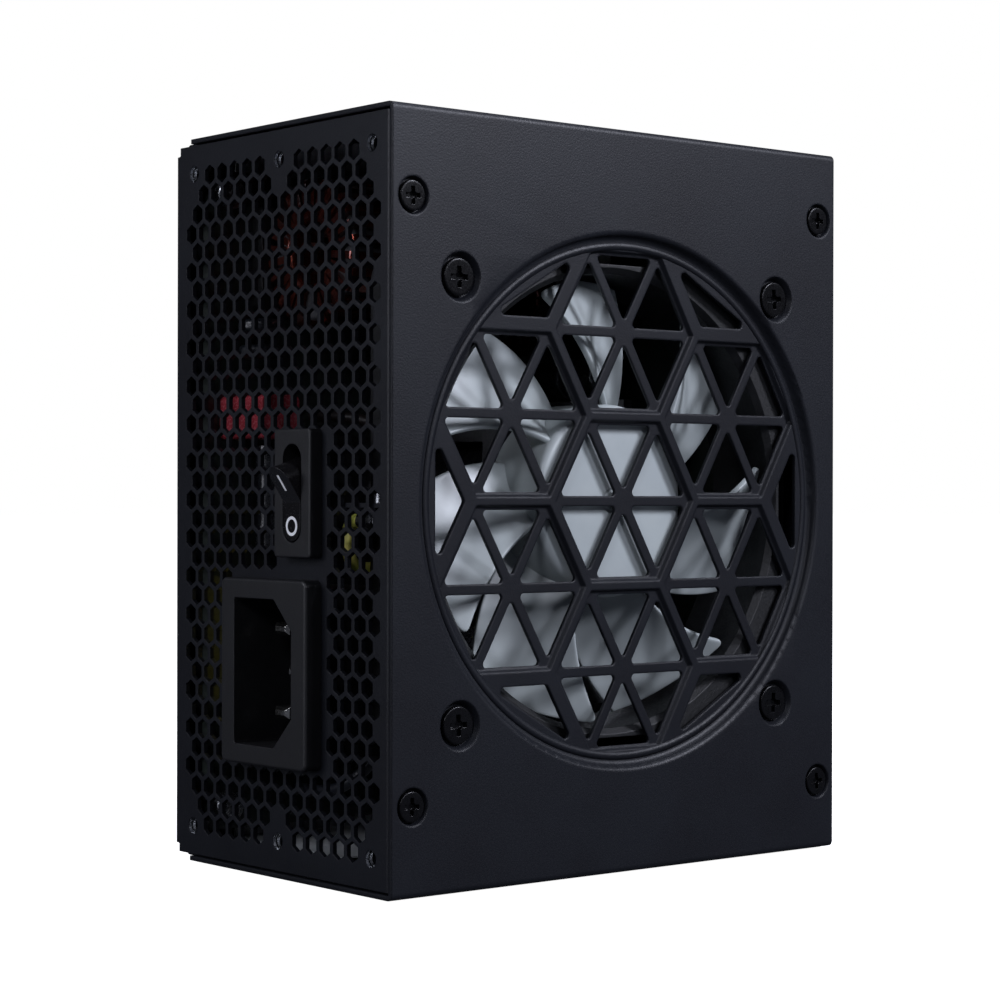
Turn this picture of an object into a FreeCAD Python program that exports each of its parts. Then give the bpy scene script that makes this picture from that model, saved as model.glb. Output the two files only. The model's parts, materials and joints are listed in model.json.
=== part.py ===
import FreeCAD
import Part
import math
import os
from FreeCAD import Vector

# Small form factor power supply, standing on its narrow side.
# +Z runs along the 125 mm width, +X looks out of the fan panel, -Y out of the mains plate.
# Origin: centre of the side that it stands on.

# ---------- driving dimensions (mm) ----------
WIDTH = 125.0
HEIGHT = 63.5
DEPTH = 100.0
SHEET = 0.8
SHEET_GAP = 0.2
BEND_R = 1.0

# chassis
PLATE_INSET = 0.4
SIDE_GAP = 0.3
FLANGE_DEPTH = 7.6
LIP_STEP = 5.6
LIP_HEIGHT = 13.5
LIP_EDGE = 0.2
RELIEF_R = 1.5
NOTCH = 10.6

# mounting holes in the mains plate: 6-32 tapped, three along each short edge
MOUNT_X = 25.75
MOUNT_Z = 56.5
MOUNT_R = 1.4
BURR_R = 2.2
BURR_LENGTH = 1.2

# honeycomb vent
HEX_FLATS = 3.0
HEX_PITCH = 3.8
HEX_ROWS = 35
VENT_CLEARANCE = 0.7

# dish and cell grille over the fan
DISH_Y = 0.7
DISH_R = 45.6
DISH_FLOOR_R = 43.7
DISH_DROP = 1.5
CELL_PITCH = 28.5
RIDGE = 1.3
BEVEL = 0.45
CELL_DROP = 0.65
CELL_SHEET = 0.6
BAR = 1.7
CELL_RIM = 0.35
OPENING_R = 0.65
CORNER_INNER_R = 34.9
CORNER_OUTER = 41.0
CORNER_R = 0.8

# screws
FAN_SCREW_PITCH = 71.5
FAN_HEAD_R = 3.05
FAN_DIMPLE = 1.3
FAN_SHANK_R = 2.1
COVER_HEAD_R = 2.45
COVER_DIMPLE = 1.0
COVER_SHANK_R = 1.45
COVER_REAR_Y = 45.9
COVER_REAR_Z = 48.0
COVER_FRONT_Y = 46.0
COVER_FRONT_Z = 50.4
DIMPLE_GAP = 0.25
FAN_SPREAD = 1.0
COVER_SPREAD = 0.6
HOLE_GAP = 0.2
DRILL = 4.0
HEAD_T = 0.9
CROSS_W = 0.75
CROSS_DEPTH = 0.7

# fan
FAN_Y = -0.6
FAN_SIZE = 80.0
FAN_T = 15.0
FAN_CORNER_R = 4.0
FAN_FLANGE = 3.0
DUCT_R = 38.5
DUCT_WALL = 1.0
PAD_T = 1.25
BLADES = 7
BLADE_R = 37.7
BLADE_T = 1.1
BLADE_SPAN = 36.0
BLADE_SWEEP = 1.08
BLADE_TIP_ANGLE = 113.0
BLADE_RISE_TIP = 7.5
BLADE_RISE_ROOT = 9.2
HUB_R = 16.4
HUB_EDGE = 1.4
HUB_WALL = 1.2
ROTOR_SET_BACK = 0.4
SHAFT_R = 1.2
SHAFT_CLEARANCE = 0.05
BEARING_R = 2.9
MAGNET_T = 1.5
STATOR_R = 12.6
STATOR_T = 5.0
MOTOR_BASE_R = 17.0
MOTOR_BASE_T = 1.4
STRUT_W = 3.4
SEAT_GAP = 0.04
POST_WALL = 1.1

# mains inlet
INLET_Z = 34.1
INLET_W = 24.6
INLET_L = 31.0
INLET_PROUD = 3.2
INLET_BODY_W = 22.0
INLET_BODY_L = 28.0
INLET_BODY_DEPTH = 16.6
CAVITY_W = 16.6
CAVITY_L = 24.4
CAVITY_DEPTH = 16.0
CAVITY_CHAMFER = 5.0
PIN_W = 4.0
PIN_T = 2.0
PIN_PITCH = 7.0
PIN_OFFSET = 2.0
PIN_RECESS = 5.0
PIN_TAIL = 6.0

# mains switch
SWITCH_X = 7.3
SWITCH_Z = 63.7
SWITCH_W = 10.2
SWITCH_L = 21.0
SWITCH_PROUD = 2.4
SWITCH_BODY_W = 9.2
SWITCH_BODY_L = 18.6
SWITCH_BODY_DEPTH = 11.6
ROCKER_W = 4.9
ROCKER_HALF = 6.3
ROCKER_GAP = 0.2
ROCKER_TILT = 17.0
ROCKER_END_GAP = 0.25
PIVOT_DEPTH = 4.0
PIVOT_R = 1.0
PIVOT_CLEARANCE = 0.06
PLUNGER_R = 0.9
BLADE_TILT = 8.0

# main board and what stands on it
BOARD_GAP = 4.35
BOARD_T = 1.6
BOARD_Y = (-47.2, 44.0)
BOARD_Z = (5.0, 120.0)
STANDOFF_R = 2.6
BOARD_SCREW_R = 1.4
LEG_GAP = 0.4

# output side
OUTPUT_BOARD_Y = 41.0
OUTPUT_BOARD_T = 1.6
CELL = 4.2
SOCKET_WALL = 1.0
SOCKET_PROUD = 0.6
SOCKET_CLEARANCE = 0.3
SOCKET_RECESS = 4.6
CONTACT_W = 1.0

# ---------- derived places ----------
X_TOP = HEIGHT / 2
X_FLOOR = -HEIGHT / 2
Y_BACK = -DEPTH / 2
Y_FRONT = DEPTH / 2
Z_MID = WIDTH / 2
X_UNDER = X_TOP - SHEET
X_FLANGE = X_UNDER - SHEET_GAP
X_INNER = X_FLOOR + SHEET
PLATE_Y = Y_BACK + PLATE_INSET
PLATE_IN = PLATE_Y + SHEET
FRONT_Y = Y_FRONT - PLATE_INSET
FRONT_IN = FRONT_Y - SHEET
PLATE_Z0 = SHEET + SIDE_GAP
PLATE_Z1 = WIDTH - PLATE_Z0
X_BOARD = X_INNER + BOARD_GAP
X_DECK = X_BOARD + BOARD_T
FAN_FRONT = X_UNDER - FAN_DIMPLE - PAD_T
FAN_BACK = FAN_FRONT - FAN_T
BEZEL_FACE = PLATE_Y - SWITCH_PROUD
PIVOT_Y = BEZEL_FACE + PIVOT_DEPTH
CELL_FLOOR = X_TOP - DISH_DROP - CELL_DROP

os.makedirs("parts", exist_ok=True)
built = []


def save(name, shape):
    """Write one sub-part and note its volume."""
    if not shape.isValid():
        shape = shape.copy()
        shape.fix(1e-4, 1e-4, 1e-3)
    shape.exportStep("parts/" + name + ".step")
    built.append(name)
    print(f"{name:24s} solids {len(shape.Solids):3d} volume {shape.Volume:10.2f} valid {shape.isValid()}")


def box(x0, x1, y0, y1, z0, z1):
    return Part.makeBox(x1 - x0, y1 - y0, z1 - z0, Vector(x0, y0, z0))


def rod(radius, start, end):
    """Cylinder from one point to another."""
    a = Vector(*start)
    along = Vector(*end) - a
    return Part.makeCylinder(radius, along.Length, a, along)


def cone(r0, r1, start, end):
    a = Vector(*start)
    along = Vector(*end) - a
    return Part.makeCone(r0, r1, along.Length, a, along)


def fuse(shapes):
    first = shapes[0]
    return first.multiFuse(shapes[1:]).removeSplitter() if len(shapes) > 1 else first


def group(shapes):
    return Part.makeCompound(shapes)


def outline(points, radii):
    """Closed wire through points; each corner is rounded to its radius (0 keeps it sharp)."""
    edges = []
    count = len(points)
    ends = []
    for i in range(count):
        here = points[i]
        before = (points[i - 1] - here).normalize()
        after = (points[(i + 1) % count] - here).normalize()
        radius = radii[i] if isinstance(radii, (list, tuple)) else radii
        if radius <= 0:
            ends.append((here, here, None))
            continue
        half = before.getAngle(after) / 2
        reach = radius / math.tan(half)
        middle = here + (before + after).normalize() * (radius / math.sin(half) - radius)
        ends.append((here + before * reach, here + after * reach, middle))
    for i in range(count):
        start, end, middle = ends[i]
        if middle is not None:
            edges.append(Part.Arc(start, middle, end).toShape())
        following = ends[(i + 1) % count][0]
        if (following - end).Length > 1e-6:
            edges.append(Part.LineSegment(end, following).toShape())
    return Part.Wire(edges)


def prism(points, radii, along):
    """Solid from a closed outline pushed along a vector."""
    return Part.Face(outline(points, radii)).extrude(along)


def plate_yz(points, radii, x0, x1):
    """Prism whose outline is given as (y, z) pairs, between two heights in X."""
    return prism([Vector(x0, y, z) for y, z in points], radii, Vector(x1 - x0, 0, 0))


def plate_xz(points, radii, y0, y1):
    return prism([Vector(x, y0, z) for x, z in points], radii, Vector(0, y1 - y0, 0))


def plate_xy(points, radii, z0, z1):
    return prism([Vector(x, y, z0) for x, y in points], radii, Vector(0, 0, z1 - z0))


def rounded_box_xz(x0, x1, z0, z1, y0, y1, radius):
    return plate_xz([(x0, z0), (x1, z0), (x1, z1), (x0, z1)], radius, y0, y1)


def capsule_xz(x, z, width, half, y0, y1):
    """Upright capsule outline pushed along Y."""
    return rounded_box_xz(x - width / 2, x + width / 2, z - half, z + half, y0, y1, width / 2 - 1e-3)


def hexagon(centre_y, centre_z, flats, first=0.0):
    """Corners of a hexagon in (y, z), flat to flat distance given."""
    reach = flats / math.sqrt(3)
    corners = []
    for k in range(6):
        turn = math.radians(first + 60 * k)
        corners.append((centre_y + reach * math.cos(turn), centre_z + reach * math.sin(turn)))
    return corners


def hex_frustum(y, z, x0, flats0, x1, flats1, corner=0.3):
    """Hexagonal frustum along X between two heights."""
    lower = outline([Vector(x0, a, b) for a, b in hexagon(y, z, flats0)], corner)
    upper = outline([Vector(x1, a, b) for a, b in hexagon(y, z, flats1)], corner)
    return Part.makeLoft([lower, upper], True, True)


def wire_along(points, radius):
    """Wire of round section: straight runs joined by tangent arcs."""
    route = [Vector(*p) for p in points]
    edges = []
    start = route[0]
    radii = []
    for i in range(1, len(route) - 1):
        here = route[i]
        back = route[i - 1] - here
        ahead = route[i + 1] - here
        turn = math.pi - back.getAngle(ahead)
        reach = 0.45 * min(back.Length, ahead.Length)
        bend = reach / math.tan(turn / 2)
        radii.append(bend)
        back.normalize()
        ahead.normalize()
        first = here + back * reach
        last = here + ahead * reach
        inward = (back + ahead).normalize()
        middle = here + inward * (bend / math.cos(turn / 2) - bend)
        edges.append(Part.LineSegment(start, first).toShape())
        edges.append(Part.Arc(first, middle, last).toShape())
        start = last
    edges.append(Part.LineSegment(start, route[-1]).toShape())
    path = Part.Wire(edges)
    section = Part.Wire(Part.makeCircle(radius, route[0], route[1] - route[0]))
    tube = path.makePipeShell([section], True, False)
    expected = math.pi * radius ** 2 * path.Length
    print("  wire length %.1f, radii %s, volume ratio %.4f" % (
        path.Length, [round(r, 1) for r in radii], tube.Volume / expected))
    return tube


# ---------- cover: fan panel and two side walls ----------

FAN_HOLES = [(FAN_Y + a * FAN_SCREW_PITCH / 2, Z_MID + b * FAN_SCREW_PITCH / 2)
             for a in (-1, 1) for b in (-1, 1)]
COVER_HOLES = [(-COVER_REAR_Y, Z_MID - COVER_REAR_Z), (-COVER_REAR_Y, Z_MID + COVER_REAR_Z),
               (COVER_FRONT_Y, Z_MID - COVER_FRONT_Z), (COVER_FRONT_Y, Z_MID + COVER_FRONT_Z)]
CELLS = [(DISH_Y, Z_MID)] + [
    (DISH_Y + CELL_PITCH * math.cos(math.radians(30 + 60 * k)),
     Z_MID + CELL_PITCH * math.sin(math.radians(30 + 60 * k))) for k in range(6)]


def dimple(y, z, drop, head_r, spread, grow, lower):
    """Drawn dimple as a frustum; grow widens it and lower pushes it down for its back side."""
    top = X_TOP - lower
    return cone(head_r + spread + grow, head_r + DIMPLE_GAP + grow, (top, y, z), (top - drop, y, z))


def fan_dimple(y, z, grow=0.0, lower=0.0):
    return dimple(y, z, FAN_DIMPLE, FAN_HEAD_R, FAN_SPREAD, grow, lower)


def cover_dimple(y, z, grow=0.0, lower=0.0):
    return dimple(y, z, COVER_DIMPLE, COVER_HEAD_R, COVER_SPREAD, grow, lower)


def dish_profile(grow, lower, overshoot):
    """Dish pocket turned from an S-shaped wall: a round shoulder above, a round root below."""
    top = X_TOP - lower
    wall = DISH_R - DISH_FLOOR_R
    knee = Vector(top - DISH_DROP / 2, DISH_Y, Z_MID + DISH_R + grow - wall / 2)
    rim = Vector(top, DISH_Y, Z_MID + DISH_R + grow)
    root = Vector(top - DISH_DROP, DISH_Y, Z_MID + DISH_FLOOR_R + grow)
    # each half of the wall is an arc that leaves its flat tangentially
    half_h = DISH_DROP / 2
    half_w = wall / 2
    radius = (half_h ** 2 + half_w ** 2) / (2 * half_h)
    sweep = math.asin(half_w / radius) / 2
    rim_mid = Vector(top - radius * (1 - math.cos(sweep)), DISH_Y, rim.z - radius * math.sin(sweep))
    root_mid = Vector(root.x + radius * (1 - math.cos(sweep)), DISH_Y, root.z + radius * math.sin(sweep))
    above = Vector(top + overshoot, DISH_Y, rim.z)
    axis_top = Vector(top + overshoot, DISH_Y, Z_MID)
    axis_low = Vector(top - DISH_DROP, DISH_Y, Z_MID)
    edges = [Part.LineSegment(axis_low, root).toShape(),
             Part.Arc(root, root_mid, knee).toShape(),
             Part.Arc(knee, rim_mid, rim).toShape(),
             Part.LineSegment(rim, above).toShape(),
             Part.LineSegment(above, axis_top).toShape(),
             Part.LineSegment(axis_top, axis_low).toShape()]
    face = Part.Face(Part.Wire(edges))
    return face.revolve(Vector(0, DISH_Y, Z_MID), Vector(1, 0, 0), 360)


def cell_openings():
    """Six triangles in each cell, left between three crossing bars."""
    reach = (CELL_PITCH - RIDGE) / 2 - BEVEL - CELL_RIM
    cuts = []
    for y, z in CELLS:
        for k in range(6):
            middle = math.radians(30 + 60 * k)
            inner = BAR / 2 / math.sin(math.radians(30))
            side = (reach - inner) / math.cos(math.radians(30))
            corners = [(y + inner * math.cos(middle), z + inner * math.sin(middle))]
            for turn in (-30, 30):
                way = middle + math.radians(turn)
                corners.append((corners[0][0] + side * math.cos(way), corners[0][1] + side * math.sin(way)))
            cuts.append(plate_yz(corners, OPENING_R, CELL_FLOOR - 3, CELL_FLOOR + 3))
    return cuts


def corner_openings():
    """Openings between the outer cells and the dish edge: a wide corner cut by a straight chord."""
    cuts = []
    for k in range(6):
        way = math.radians(60 * k)
        out = (math.cos(way), math.sin(way))
        across = (-out[1], out[0])
        tip = (DISH_Y + CORNER_INNER_R * out[0], Z_MID + CORNER_INNER_R * out[1])
        run = CORNER_OUTER - CORNER_INNER_R
        half = run * math.tan(math.radians(60))
        far = (tip[0] + run * out[0], tip[1] + run * out[1])
        corners = [tip, (far[0] - half * across[0], far[1] - half * across[1]),
                   (far[0] + half * across[0], far[1] + half * across[1])]
        cuts.append(plate_yz(corners, CORNER_R, CELL_FLOOR - 3, X_TOP + 1))
    return cuts


def make_cover():
    foot = X_FLOOR + LIP_STEP
    section = [(foot, 0), (X_TOP, 0), (X_TOP, WIDTH), (foot, WIDTH),
               (foot, WIDTH - SHEET), (X_UNDER, WIDTH - SHEET), (X_UNDER, SHEET), (foot, SHEET)]
    radii = [0, BEND_R, BEND_R, 0, 0, BEND_R - SHEET, BEND_R - SHEET, 0]
    shell = plate_xz(section, radii, Y_BACK, Y_FRONT)
    slope = math.atan2(DISH_DROP, DISH_R - DISH_FLOOR_R)
    grow = SHEET * math.tan(slope / 2)
    backs = [dish_profile(grow, SHEET, SHEET / 2)]
    flats = CELL_PITCH - RIDGE
    for y, z in CELLS:
        backs.append(hex_frustum(y, z, X_TOP - DISH_DROP - SHEET / 2, flats + 0.5,
                                 CELL_FLOOR - CELL_SHEET, flats - 2 * BEVEL + 0.5))
    for y, z in FAN_HOLES:
        backs.append(fan_dimple(y, z, SHEET / 3, SHEET))
    for y, z in COVER_HOLES:
        backs.append(cover_dimple(y, z, SHEET / 3, SHEET))
    shell = shell.multiFuse(backs)
    cuts = [dish_profile(0, 0, 1.0)]
    for y, z in CELLS:
        cuts.append(hex_frustum(y, z, X_TOP - DISH_DROP + 0.2, flats + 2 * 0.2 * BEVEL / CELL_DROP,
                                CELL_FLOOR, flats - 2 * BEVEL))
    for y, z in FAN_HOLES:
        cuts.append(fan_dimple(y, z))
        cuts.append(rod(FAN_SHANK_R + HOLE_GAP, (X_TOP, y, z), (X_TOP - DRILL, y, z)))
    for y, z in COVER_HOLES:
        cuts.append(cover_dimple(y, z))
        cuts.append(rod(COVER_SHANK_R + HOLE_GAP, (X_TOP, y, z), (X_TOP - DRILL, y, z)))
    shell = shell.cut(group(cuts))
    shell = shell.cut(group(cell_openings() + corner_openings()))
    return shell


# ---------- chassis: floor, mains plate, output plate, flanges and side lips ----------

SOCKET_W = 2 * CELL + 2 * SOCKET_WALL
SOCKET_ROW_A = 15.0
SOCKET_ROW_B = 1.0
SOCKET_ROW_C = -13.0
# x, z from the middle, number of columns
SOCKETS = [(SOCKET_ROW_A, 0.0, 12), (SOCKET_ROW_A, -37.5, 4), (SOCKET_ROW_A, 37.5, 4),
           (SOCKET_ROW_B, -37.5, 4), (SOCKET_ROW_B, -12.5, 4), (SOCKET_ROW_B, 12.5, 4), (SOCKET_ROW_B, 37.5, 4),
           (SOCKET_ROW_C, -28.5, 3), (SOCKET_ROW_C, 0.0, 3), (SOCKET_ROW_C, 28.5, 3)]
EARTH_TAB = {"x0": 17.5, "x1": 27.0, "z": 61.4, "end": -41.4, "hole_x": 22.8, "hole_y": -45.2}
DISH_CLEARANCE = 0.6
FLANGE_GAP_HALF = 9.85
FLANGE_GAP_SHIFT = -2.15


def honeycomb():
    """Pointed-top hexagons in staggered rows, left out around the inlet, the switch and the tapped holes."""
    row_pitch = HEX_PITCH * math.sqrt(3) / 2
    size = HEX_FLATS / math.sqrt(3)
    cells = []
    limit = MOUNT_X + 1.0
    for row in range(HEX_ROWS):
        z = Z_MID + ((HEX_ROWS - 1) / 2 - row) * row_pitch
        shift = HEX_PITCH / 2 if row % 2 == 0 else 0.0
        for k in range(-8, 9):
            x = k * HEX_PITCH + shift
            near_mount = any(math.hypot(x - mx, z - mz) < BURR_R + size + 0.1 for mx, mz in mount_holes())
            near_inlet = (abs(x) < INLET_BODY_W / 2 + size + VENT_CLEARANCE
                          and abs(z - INLET_Z) < INLET_BODY_L / 2 + size + VENT_CLEARANCE)
            near_switch = (abs(x - SWITCH_X) < SWITCH_BODY_W / 2 + size + VENT_CLEARANCE
                           and abs(z - SWITCH_Z) < SWITCH_BODY_L / 2 + size + VENT_CLEARANCE)
            if abs(x) > limit or near_mount or near_inlet or near_switch:
                continue
            corners = []
            for turn in range(6):
                way = math.radians(90 + 60 * turn)
                corners.append((x + size * math.cos(way), z + size * math.sin(way)))
            cells.append(plate_xz(corners, 0, PLATE_Y - 0.5, PLATE_IN + 0.05))
    return cells


def mount_holes():
    return [(a * MOUNT_X, Z_MID + b * MOUNT_Z) for a in (-1, 0, 1) for b in (-1, 1)]


def side_lip(mirrored):
    """Lip folded up from the floor: flush with the cover below it, then stepped in behind it."""
    step = SHEET + 0.15
    shoulder = X_FLOOR + LIP_STEP
    top = X_FLOOR + LIP_HEIGHT
    root = 8.0
    points = [(X_FLOOR, root), (X_FLOOR, LIP_EDGE), (shoulder - 0.7, LIP_EDGE), (shoulder, step), (top, step),
              (top, step + SHEET), (shoulder - 0.3, step + SHEET), (shoulder - 1.0, LIP_EDGE + SHEET),
              (X_INNER, LIP_EDGE + SHEET), (X_INNER, root)]
    radii = [0, BEND_R, 0.3, 0.3, 0, 0, 0.3, 0.3, BEND_R - SHEET, 0]
    reach = Y_FRONT - PLATE_INSET - BEND_R - RELIEF_R
    lip = plate_xz(points, radii, -reach, reach)
    return lip.mirror(Vector(0, 0, Z_MID), Vector(0, 0, 1)) if mirrored else lip


def make_chassis():
    flange_y = PLATE_Y + FLANGE_DEPTH
    flange_low = X_FLANGE - SHEET
    section = [(X_FLANGE, flange_y), (X_FLANGE, PLATE_Y), (X_FLOOR, PLATE_Y), (X_FLOOR, FRONT_Y),
               (X_FLANGE, FRONT_Y), (X_FLANGE, -flange_y), (flange_low, -flange_y), (flange_low, FRONT_IN),
               (X_INNER, FRONT_IN), (X_INNER, PLATE_IN), (flange_low, PLATE_IN), (flange_low, flange_y)]
    bend_in = BEND_R - SHEET
    radii = [0, BEND_R, BEND_R, BEND_R, BEND_R, 0, 0, bend_in, bend_in, bend_in, bend_in, 0]
    body = plate_xy(section, radii, PLATE_Z0, PLATE_Z1)
    adds = [side_lip(False), side_lip(True)]
    for y, z in COVER_HOLES:
        adds.append(cover_dimple(y, z, 2 * SHEET / 3 + 0.1, 2 * SHEET + SHEET_GAP))
    for x, z in mount_holes():
        adds.append(rod(BURR_R, (x, PLATE_IN - 0.1, z), (x, PLATE_IN + BURR_LENGTH, z)))
    tab = EARTH_TAB
    adds.append(box(tab["x0"], tab["x1"], PLATE_IN - 0.1, tab["end"], tab["z"], tab["z"] + SHEET))
    body = body.multiFuse(adds)
    cuts = []
    for y, z in COVER_HOLES:
        cuts.append(cover_dimple(y, z, SHEET / 3 + 0.1, SHEET + SHEET_GAP - 0.1))
        cuts.append(cover_dimple(y, z, SHEET / 3 + 0.1, SHEET - 0.1))
        cuts.append(rod(COVER_SHANK_R, (X_TOP, y, z), (X_TOP - DRILL, y, z)))
    # gaps between the folded flange segments
    over = FLANGE_DEPTH - SHEET + 0.1
    for side in (-1, 1):
        inner = PLATE_IN if side < 0 else FRONT_IN - over
        for offset in (NOTCH, WIDTH - NOTCH):
            cuts.append(box(flange_low - 0.1, X_TOP, inner, inner + over, offset - 0.4, offset + 0.4))
        middle = Z_MID + FLANGE_GAP_SHIFT
        cuts.append(box(flange_low - 0.1, X_TOP, inner, inner + over,
                        middle - FLANGE_GAP_HALF, middle + FLANGE_GAP_HALF))
    # bend reliefs at the corners where the lips and the plates are folded up
    for y in (PLATE_Y, FRONT_Y):
        for z in (PLATE_Z0, PLATE_Z1):
            cuts.append(rod(RELIEF_R, (X_FLOOR - 1, y, z), (X_FLOOR + 1.6, y, z)))
    for x, z in mount_holes():
        cuts.append(rod(MOUNT_R, (x, PLATE_Y - 1, z), (x, PLATE_IN + BURR_LENGTH + 1, z)))
    cuts.append(rod(COVER_SHANK_R, (tab["hole_x"], tab["hole_y"], tab["z"] - 1),
                    (tab["hole_x"], tab["hole_y"], tab["z"] + 2)))
    # the flanges are cut back round the dish
    cuts.append(rod(DISH_R + DISH_CLEARANCE, (flange_low - 0.1, DISH_Y, Z_MID), (X_TOP, DISH_Y, Z_MID)))
    cuts.append(rounded_box_xz(-INLET_BODY_W / 2, INLET_BODY_W / 2, INLET_Z - INLET_BODY_L / 2,
                               INLET_Z + INLET_BODY_L / 2, PLATE_Y - 1, PLATE_IN + 0.05, 0.5))
    cuts.append(box(SWITCH_X - SWITCH_BODY_W / 2, SWITCH_X + SWITCH_BODY_W / 2, PLATE_Y - 1, PLATE_IN + 0.05,
                    SWITCH_Z - SWITCH_BODY_L / 2, SWITCH_Z + SWITCH_BODY_L / 2))
    for x, offset, columns in SOCKETS:
        half_w = SOCKET_W / 2 + SOCKET_CLEARANCE
        half_l = columns * CELL / 2 + SOCKET_WALL + SOCKET_CLEARANCE
        z = Z_MID + offset
        cuts.append(rounded_box_xz(x - half_w, x + half_w, z - half_l, z + half_l, FRONT_IN - 0.5, FRONT_Y + 1, 0.4))
    body = body.cut(group(cuts))
    return body.cut(group(honeycomb()))


# ---------- screws ----------

def flat_screw(x_seat, y, z, head_r, shank_r, length):
    """Flat head with a bevelled rim and a cross recess; the shank points into the case."""
    rim = 0.25
    head = rod(head_r, (x_seat, y, z), (x_seat + HEAD_T - rim, y, z))
    crown = cone(head_r, head_r - rim, (x_seat + HEAD_T - rim, y, z), (x_seat + HEAD_T, y, z))
    shank = rod(shank_r, (x_seat - length, y, z), (x_seat + 0.1, y, z))
    arm = head_r * 0.6
    half = CROSS_W / 2
    low = x_seat + HEAD_T - CROSS_DEPTH
    cross = box(low, x_seat + 2, y - arm, y + arm, z - half, z + half)
    cross = cross.fuse(box(low, x_seat + 2, y - half, y + half, z - arm, z + arm))
    return fuse([head, crown, shank]).cut(cross)


def make_fan_screws():
    seat = X_TOP - FAN_DIMPLE
    length = SHEET + PAD_T + FAN_FLANGE + 1.0
    return group([flat_screw(seat, y, z, FAN_HEAD_R, FAN_SHANK_R, length) for y, z in FAN_HOLES])


def make_cover_screws():
    seat = X_TOP - COVER_DIMPLE
    return group([flat_screw(seat, y, z, COVER_HEAD_R, COVER_SHANK_R, 4.0) for y, z in COVER_HOLES])


# ---------- fan ----------

def tube_x(outer, inner, x0, x1, y=FAN_Y, z=Z_MID):
    return rod(outer, (x0, y, z), (x1, y, z)).cut(rod(inner, (x0 - 1, y, z), (x1 + 1, y, z)))


def make_fan_pads():
    washers = []
    for y, z in FAN_HOLES:
        washers.append(tube_x(FAN_HEAD_R + 0.6, FAN_SHANK_R + HOLE_GAP, FAN_FRONT, FAN_FRONT + PAD_T, y, z))
    return group(washers)


def make_fan_frame():
    half = FAN_SIZE / 2
    square = [(FAN_Y - half, Z_MID - half), (FAN_Y + half, Z_MID - half),
              (FAN_Y + half, Z_MID + half), (FAN_Y - half, Z_MID + half)]
    front = plate_yz(square, FAN_CORNER_R, FAN_FRONT - FAN_FLANGE, FAN_FRONT)
    back = plate_yz(square, FAN_CORNER_R, FAN_BACK, FAN_BACK + FAN_FLANGE)
    wall = rod(DUCT_R + DUCT_WALL, (FAN_BACK, FAN_Y, Z_MID), (FAN_FRONT, FAN_Y, Z_MID))
    frame = front.multiFuse([back, wall])
    frame = frame.cut(rod(DUCT_R, (FAN_BACK - 1, FAN_Y, Z_MID), (FAN_FRONT + 1, FAN_Y, Z_MID)))
    # a short flare at the mouth
    flare = cone(DUCT_R, DUCT_R + DUCT_WALL, (FAN_FRONT - 1.0, FAN_Y, Z_MID), (FAN_FRONT, FAN_Y, Z_MID))
    frame = frame.cut(flare)
    bore_r = FAN_SHANK_R + SEAT_GAP
    holes = [rod(bore_r, (FAN_BACK - 1, y, z), (FAN_FRONT + 1, y, z)) for y, z in FAN_HOLES]
    frame = frame.cut(group(holes))
    base = rod(MOTOR_BASE_R, (FAN_BACK, FAN_Y, Z_MID), (FAN_BACK + MOTOR_BASE_T, FAN_Y, Z_MID))
    post = rod(BEARING_R + POST_WALL, (FAN_BACK, FAN_Y, Z_MID), (FAN_BACK + 10.0, FAN_Y, Z_MID))
    struts = []
    for k in range(4):
        strut = box(FAN_BACK, FAN_BACK + 1.8, FAN_Y + MOTOR_BASE_R - 2, FAN_Y + DUCT_R + DUCT_WALL / 2,
                    Z_MID - STRUT_W / 2, Z_MID + STRUT_W / 2)
        strut.rotate(Vector(0, FAN_Y, Z_MID), Vector(1, 0, 0), 30 + 90 * k)
        struts.append(strut)
    frame = frame.multiFuse([base, post] + struts)
    bore = rod(BEARING_R, (FAN_BACK + MOTOR_BASE_T, FAN_Y, Z_MID), (FAN_FRONT, FAN_Y, Z_MID))
    return frame.cut(bore).removeSplitter()


def blade(number):
    """Forward-swept blade: a curved surface given a constant thickness along the fan's axis."""
    grid = []
    lead_x = FAN_FRONT - 1.4
    root_r = HUB_R - HUB_WALL / 2
    for i in range(6):
        along = i / 5
        r = root_r + (BLADE_R - root_r) * along
        lead = BLADE_TIP_ANGLE - BLADE_SWEEP * (BLADE_R - r) - 3.0 * max(0.0, along - 0.6) ** 2 / 0.16
        trail = BLADE_TIP_ANGLE - BLADE_SWEEP * (BLADE_R - r) - BLADE_SPAN
        rise = BLADE_RISE_ROOT + (BLADE_RISE_TIP - BLADE_RISE_ROOT) * along
        row = []
        for j in range(6):
            chord = j / 5
            way = math.radians(lead + (trail - lead) * chord + 360.0 / BLADES * number)
            x = lead_x - rise * (chord + 0.14 * math.sin(math.pi * chord))
            row.append(Vector(x, FAN_Y + r * math.cos(way), Z_MID + r * math.sin(way)))
        grid.append(row)
    surface = Part.BSplineSurface()
    surface.interpolate(grid)
    return surface.toShape().extrude(Vector(-BLADE_T, 0, 0))


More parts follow.
